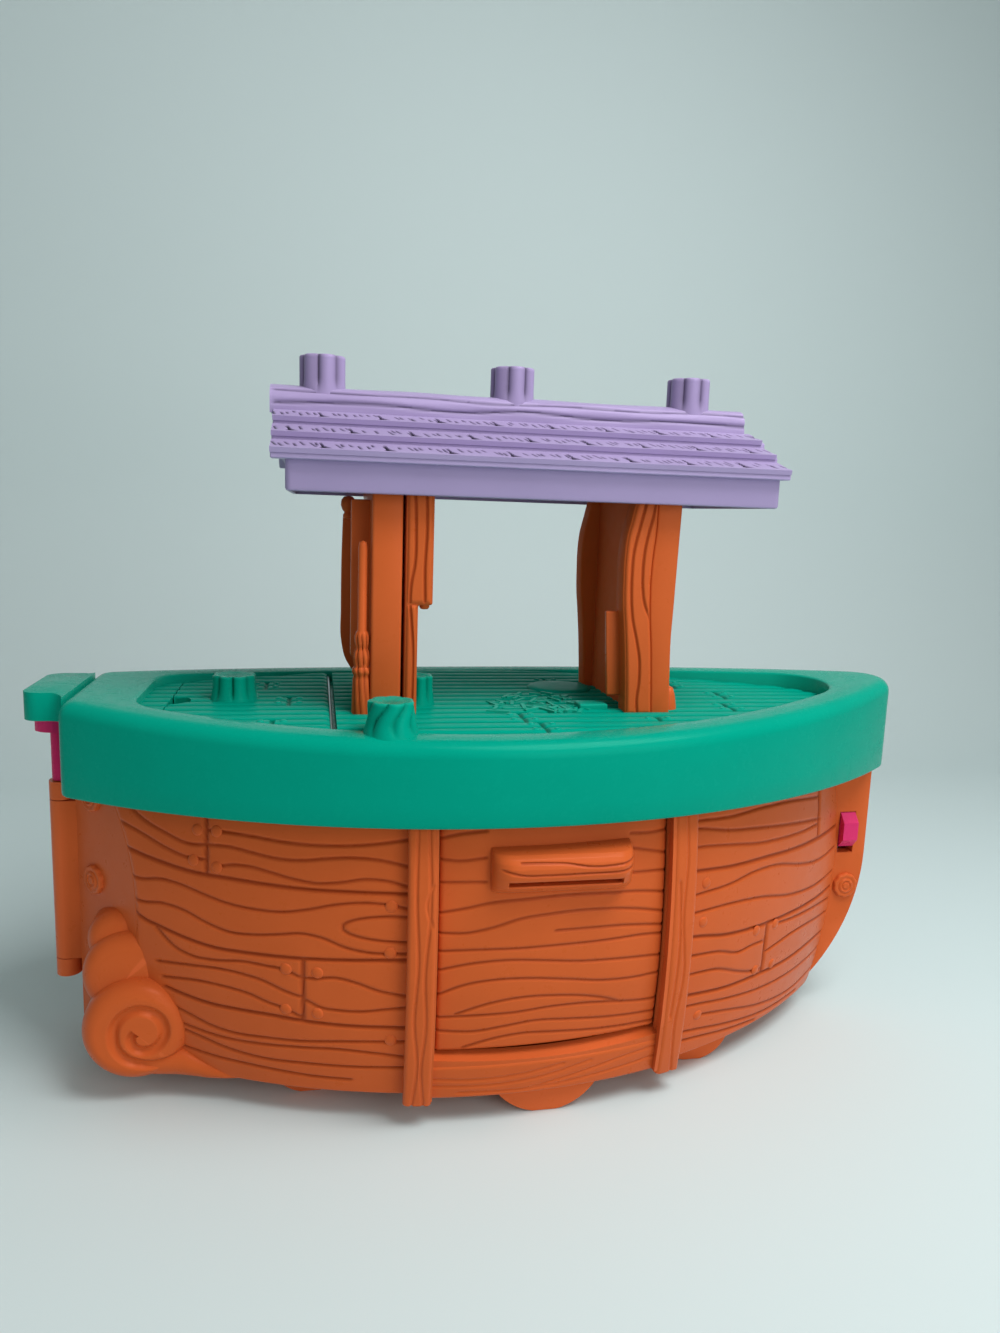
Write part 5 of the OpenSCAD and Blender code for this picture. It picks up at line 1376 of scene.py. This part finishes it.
    def aft_outer(self):
        """Outer half of the aft wall with its wing, door frame, broom and knob."""
        low, high = (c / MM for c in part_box("aft_wall_outer"))
        x0 = high.x - 12.5
        outline = [(x0, low.z), (high.x, low.z), (high.x, high.z), (x0, high.z)]
        wall = prism("aft_wall_panel", outline, (low.y, high.y), 1, brown(), 1.2)
        place(wall, "ark", ["aft_wall_outer"])
        root = x0 + 1
        foot, top = self.WING[0][0], self.WING[-1][0]
        wing = self.upright_edge(self.WING, foot, top) + [(root, top), (root, foot)]
        stile = [(-68.2, 186), (root, 180), (root, 252), (-68.2, 252)]
        for made in (
                prism("aft_wall_wing", wing, (high.y - 4.0, high.y), 1, brown(), 0.8),
                prism("aft_door_frame", stile, (-22, -18), 1, brown(), 0.8),
                self.turned("wall_broom", -63.8, -34.2, self.BROOM, (163.5, 197.0)),
                self.turned("wall_knob", -67.6, 34.0, self.KNOB)):
            place(made, "ark")

    def aft_inner(self):
        """Inner half of the aft wall, stepped out above its pegs."""
        low, high = (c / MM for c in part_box("aft_wall_inner"))
        step_x, step_z = high.x - 6.0, DECK_Z + 47.0
        outline = [
            (low.x, low.z), (step_x, low.z), (step_x, step_z), (high.x, step_z), (high.x, high.z),
            (low.x, high.z)]
        wall = prism("aft_wall_stile", outline, (low.y, high.y), 1, brown(), 1.0)
        place(wall, "ark", ["aft_wall_inner"])
        edge = 0.8
        for side, hand in SIDES:
            y = low.y if side < 0 else high.y
            aft, foot, top = (
                [(low.z, x), (high.z, x)] for x in (low.x + edge, step_x - edge, high.x - edge))
            for made in (
                    self.grain(f"stile_foot_grain_{hand}", aft, foot, (low.z + 0.5, step_z), y, side,
                               self.STILE_VEINS[:1]),
                    self.grain(f"stile_grain_{hand}", aft, top, (step_z + edge, high.z - 0.5), y, side,
                               self.STILE_VEINS),
                    self.turned(f"stile_peg_{hand}", high.x - 2.9, y * 0.86, [
                        (2.1, step_z + 1), (2.1, step_z - 1.2), (1.5, step_z - 2.0), (0.1, step_z - 2.2)])):
                place(made, "ark")

    def board(self, aft, fore, low, high):
        """Outline of a board between two smooth edges."""
        return self.upright_edge(aft, low, high) + self.upright_edge(fore, low, high)[::-1]

    def fore_inner(self):
        """Inner half of the fore wall: a recessed back between two posts, and the low rail."""
        low, high = (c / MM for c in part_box("fore_wall_inner"))
        back_x, back_in, post_w = (54.9, 58.6), 6, 10.0
        back = [(back_x[0], low.z), (back_x[1], low.z), (back_x[1], high.z), (back_x[0], high.z)]
        wall = prism("fore_wall_back", back, (low.y + back_in, high.y - back_in), 1, brown_inside(), 0.5)
        place(wall, "ark", ["fore_wall_inner"])
        outline = self.board(self.POST_AFT, self.POST_SEAM, low.z, high.z)
        aft = [(h, x + 0.8) for h, x in self.POST_AFT]
        seam = [(h, x - 0.6) for h, x in self.POST_SEAM]
        for side, hand in SIDES:
            y = low.y if side < 0 else high.y
            span = sorted((y, y - side * post_w))
            post = prism(f"fore_wall_post_{hand}", outline, span, 1, brown_inside(), 1.0)
            place(post, "ark")
            heights = low.z + 0.6, high.z - 0.6
            face = self.grain(f"post_grain_{hand}", aft, seam, heights, y, side, self.POST_VEINS)
            place(face, "ark")
        bars = [(44.4, 170.0), (52.0, 170.0), (52.0, 207.5), (42.2, 207.5)]
        rail = prism("cabin_rail", bars, (low.y + 7.1, low.y + 9.6), 1, brown(), 0.8)
        place(rail, "ark")

    def fore_outer(self):
        """Outer half of the fore wall with its battens and a small foot."""
        low, high = (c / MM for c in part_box("fore_wall_outer"))
        outline = self.board(self.POST_SEAM, self.POST_FORE, low.z, high.z)
        wall = prism("fore_wall_panel", outline, (low.y, high.y), 1, brown(), 0.8)
        place(wall, "ark", ["fore_wall_outer"])
        x, batten_r = high.x - 1.2, 1.3
        lines = [((x, y, 166.0), (x, y, 258.0)) for y in (-25.0, -12.5, 0.0, 12.5, 25.0)]
        place(beads("fore_wall_battens", lines, batten_r, brown()), "ark")
        lump = self.turned("fore_wall_foot", 73.2, -30.5, [
            (0.1, 162.6), (4.2, 162.6), (4.0, 165.0), (3.2, 170.0), (2.2, 173.2), (0.1, 174.4)])
        place(lump, "ark")


class ARK_OT_roof(bpy.types.Operator):
    """Shingled roof with its ridge beam, stumps and fascia tray"""
    bl_idname = "ark.roof"
    bl_label = "Roof"

    # First seam and pitch of the shingles in each course, and the count of cracks in a shingle
    SHINGLES = ((-80.0, 24.5), (-92.5, 24.6), (-79.5, 25.0))
    CRACKS = 7
    # Middles of the stumps along the ridge
    STUMPS_X = (-79.9, 3.1, 86.1)

    def execute(self, context):
        low, high = (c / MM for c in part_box("roof_cover"))
        place(self.body(low.x, high.x), "roof", ["roof_cover"])
        for side, hand in SIDES:
            for course in range(COURSES):
                name = f"shingles_{hand}_{course + 1}"
                place(self.course(name, side, course, low.x, high.x), "roof")
        place(self.beam(low.x, high.x), "roof")
        for k, x in enumerate(self.STUMPS_X):
            post = stump(
                f"ridge_stump_{k + 1}", x, 0.0, RIDGE_Z - 4.5, STUMP_TOP, 9.9, purple(), 0.0, 7, 0.2 * k)
            place(post, "roof")
        place(self.tray(), "roof", ["roof_frame"])
        return {"FINISHED"}

    def body(self, x0, x1):
        """Stepped cover under the shingles, open below, with a gable plate near each end and a core in the
        ridge beam."""
        half = []
        for i in range(COURSES):
            half.append((RIDGE_HALF + i * COURSE_RUN, ROOF_TOP - i * COURSE_DROP))
            half.append((RIDGE_HALF + (i + 1) * COURSE_RUN, ROOF_TOP - i * COURSE_DROP - COURSE_FALL))
        inside = [(TRAY_HALF - ROOF_WALL, EAVE_Z), (RIDGE_HALF, ROOF_TOP - ROOF_WALL)]
        half += [(EAVE_HALF, EAVE_Z)] + inside
        core = [
            (RIDGE_HALF - 0.4, ROOF_TOP - 1.0), (RIDGE_HALF - 0.4, RIDGE_Z - 4.6),
            (RIDGE_HALF - 3.6, RIDGE_Z - 1.2), (RIDGE_HALF - 6.5, RIDGE_Z - 0.4)]
        gables = [(x, x + ROOF_WALL) for x in (x0 + GABLE_IN, x1 - GABLE_IN - ROOF_WALL)]
        made = []
        for name, side, span, width in (
                ("cover", half, (x0, x1), 0.5), ("gable", inside, gables[0], 0.3),
                ("gable", inside, gables[1], 0.3), ("ridge_core", core, (x0 - 1.2, x1 - 4.8), 0.4)):
            outline = side + [(-y, z) for y, z in reversed(side)]
            made.append(prism(name, outline[::-1], span, 0, purple(), width))
        return join("roof_body", made)

    def course(self, name, side, course, x0, x1):
        """One course of shingles with split ends over a rounded lip."""
        top = np.array([RIDGE_HALF + course * COURSE_RUN, ROOF_TOP - course * COURSE_DROP])
        foot = top + [COURSE_RUN, -COURSE_FALL]
        slope = foot - top
        span = np.linalg.norm(slope)
        normal2 = np.array([-slope[1], slope[0]]) / span
        x = np.arange(x0 - 0.2, x1 - 1.5 + 0.8 * course, 0.4)
        v = np.concatenate([np.linspace(-0.02, 0.98, 30), [1.01, 1.035, 1.05]])
        xs, vs = np.meshgrid(x, v)
        down = vs * span
        thick, swell, lip, left_over, back = 0.9, 0.35, 0.25, 0.12, 0.5
        notch_deep, notch_dark, crack_deep, crack_dark, crack_w, ease = 1.3, 1.6, 0.6, 1.1, 0.7, 0.05
        height = thick + swell * vs + lip * smooth_step(vs, 0.84, 0.9)
        draw = np.random.default_rng(40 + course + (10 if side > 0 else 0))
        first, pitch = self.SHINGLES[course]
        # dark holds painted shade in the notches between the shingles and in the cracks, where shade falls.
        cut, dark = np.zeros_like(xs), np.zeros_like(xs)
        for k in range(-1, 9):
            seam = first + k * pitch
            gap = np.abs(xs - seam - 3.0 * (vs - 0.8))
            wedge = 0.55 + 2.3 * smooth_step(vs, 0.55, 0.88)
            notch = (1 - smooth_step(gap, wedge * 0.7, wedge)) * smooth_step(vs, 0.1, 0.3)
            notch = notch * (1 - smooth_step(vs, 0.88, 0.92))
            cut = np.maximum(cut, notch_deep * notch)
            dark = np.maximum(dark, notch_dark * notch)
            for j in range(self.CRACKS):
                crack = seam + 1.5 + (j + draw.uniform(0.2, 0.8)) * (pitch - 4.5) / self.CRACKS
                first_v = draw.uniform(0.1, 0.4)
                last_v = min(first_v + draw.uniform(0.25, 0.5), 0.86)
                lean = draw.uniform(0.15, 0.4)
                begun = smooth_step(vs, first_v, first_v + ease)
                ended = smooth_step(vs, last_v, last_v + ease)
                line = furrow(np.abs(xs - crack - lean * down), crack_w) * (begun * (1 - ended))
                cut = np.maximum(cut, crack_deep * line)
                dark = np.maximum(dark, crack_dark * line)
        height = height - np.minimum(cut, height - left_over)
        base = np.stack([xs, side * (top[0] + slope[0] * vs), top[1] + slope[1] * vs], -1)
        normal = np.broadcast_to(np.array([0.0, side * normal2[0], normal2[1]]), base.shape)
        return relief(name, base, normal, height, back, purple(), 55, dark)

    def beam(self, x0, x1):
        """Rough-hewn ridge beam."""
        half, low = RIDGE_HALF + 0.6, ROOF_TOP - 0.6
        side = [
            (half, low), (half, low + 3.5), (half - 0.2, RIDGE_Z - 5.0), (half - 1.0, RIDGE_Z - 3.0),
            (half - 2.8, RIDGE_Z - 1.2), (half - 5.5, RIDGE_Z - 0.1), (3.0, RIDGE_Z + 0.6),
            (0.0, RIDGE_Z + 0.75)]
        y, z = zip(*side)
        along = np.concatenate([[0], np.cumsum(np.hypot(np.diff(y), np.diff(z)))])
        s = np.linspace(0, along[-1], 26)
        prof = np.column_stack([np.interp(s, along, y), np.interp(s, along, z)])
        path = np.concatenate([prof * [-1, 1], prof[::-1][1:]])
        far = np.concatenate([s, 2 * along[-1] - s[::-1][1:]])
        x = np.linspace(x0 - 1.8, x1 - 4.4, 176)
        xs, ss = np.meshgrid(x, far)
        mirrored = np.minimum(ss, 2 * along[-1] - ss)
        veins = [
            [(x0, 10.6), (-70, 9.6), (-40, 10.4), (-10, 8.6), (20, 9.8), (55, 9.0), (90, 10.2), (x1, 9.4)],
            [(x0, 4.2), (-60, 5.4), (-20, 4.0), (5, 5.6), (40, 4.2), (80, 5.0), (x1, 4.4)]]
        cut = deepest(line_cut(xs, mirrored, points, 1.0, 0.7) for points in veins)
        base = np.stack([xs, path[:, 0][:, None] + 0 * xs, path[:, 1][:, None] + 0 * xs], -1)
        turn = np.gradient(path, axis=0)
        turn /= np.linalg.norm(turn, axis=1)[:, None]
        normal = np.zeros_like(base)
        normal[..., 1], normal[..., 2] = -turn[:, 1][:, None], turn[:, 0][:, None]
        wave = 0.25 * np.sin(xs * 0.11) * np.sin(mirrored * 0.4)
        # Painted shade: the vein depth darkens the colour in the carved lines of the beam.
        return relief("ridge_beam", base, normal, wave - cut, 1.4, purple(), 60, cut)

    def tray(self):
        """Fascia tray under the eaves, with rounded corners."""
        low, high = (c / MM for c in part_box("roof_frame"))
        past_aft, past_fore, wall, ceiling, corner = 1.8, 1.2, 2.5, 262.0, 2.5
        low.x, high.x = low.x - past_aft, high.x + past_fore
        corners = (high.x, high.y, 0), (low.x, high.y, 90), (low.x, low.y, 180), (high.x, low.y, 270)

        def plan(inset):
            pts = []
            r = max(corner - inset, 0.4)
            for cx, cy, a0 in corners:
                ox = cx - math.copysign(inset + r, cx - (low.x + high.x) / 2)
                oy = cy - math.copysign(inset + r, cy)
                for a in np.radians(np.linspace(a0, a0 + 90, 6)):
                    pts.append((ox + r * math.cos(a), oy + r * math.sin(a)))
            return np.array(pts)

        rows = [
            (0, high.z), (0, low.z + 1.2), (0.35, low.z + 0.35), (1.2, low.z), (wall, low.z), (wall, ceiling)]
        rings = [np.column_stack([plan(i), np.full(24, z)]) for i, z in rows]
        return loft("fascia_tray", rings, purple(), crease=40)


class ARK_OT_fittings(bpy.types.Operator):
    """Materials of the pins, screws, catch, spring and cover"""
    bl_idname = "ark.fittings"
    bl_label = "Fittings"

    # Solids of plated steel
    STEEL = (
        "pin_screw", "door_pins", "deck_screws", "hatch_pin", "catch_spring", "wall_screws", "roof_screws")

    def execute(self, context):
        for node in ("hinge_pin", "bow_catch"):
            coat(node, pink())
        coat("catch_cover", brown())
        for node in self.STEEL:
            coat(node, plated_steel())
        return {"FINISHED"}


OPERATORS = (
    ARK_OT_stage, ARK_OT_planking, ARK_OT_ramp, ARK_OT_scrolls, ARK_OT_rosettes, ARK_OT_deck, ARK_OT_hatch,
    ARK_OT_cabin, ARK_OT_roof, ARK_OT_fittings)


class ARK_PT_panel(bpy.types.Panel):
    """Sidebar list of the ark's pieces"""
    bl_idname = "ARK_PT_panel"
    bl_label = "Toy ark"
    bl_space_type = "VIEW_3D"
    bl_region_type = "UI"
    bl_category = "Ark"

    def draw(self, context):
        for operator in OPERATORS:
            self.layout.operator(operator.bl_idname)
        for group in (context.scene.ark_colours, context.scene.ark_sizes):
            for name in group.__annotations__:
                self.layout.prop(group, name)


CLASSES = (ArkColours, ArkSizes) + OPERATORS + (ARK_PT_panel,)


def register():
    """Registers the classes and the settings on the scene."""
    for cls in CLASSES:
        bpy.utils.register_class(cls)
    bpy.types.Scene.ark_colours = PointerProperty(type=ArkColours)
    bpy.types.Scene.ark_sizes = PointerProperty(type=ArkSizes)


def unregister():
    """Takes the settings and the classes away again."""
    del bpy.types.Scene.ark_sizes
    del bpy.types.Scene.ark_colours
    for cls in reversed(CLASSES):
        bpy.utils.unregister_class(cls)


def main():
    """Builds every piece in order."""
    register()
    for operator in OPERATORS:
        group, name = operator.bl_idname.split(".")
        getattr(getattr(bpy.ops, group), name)()


if __name__ == "__main__":
    main()
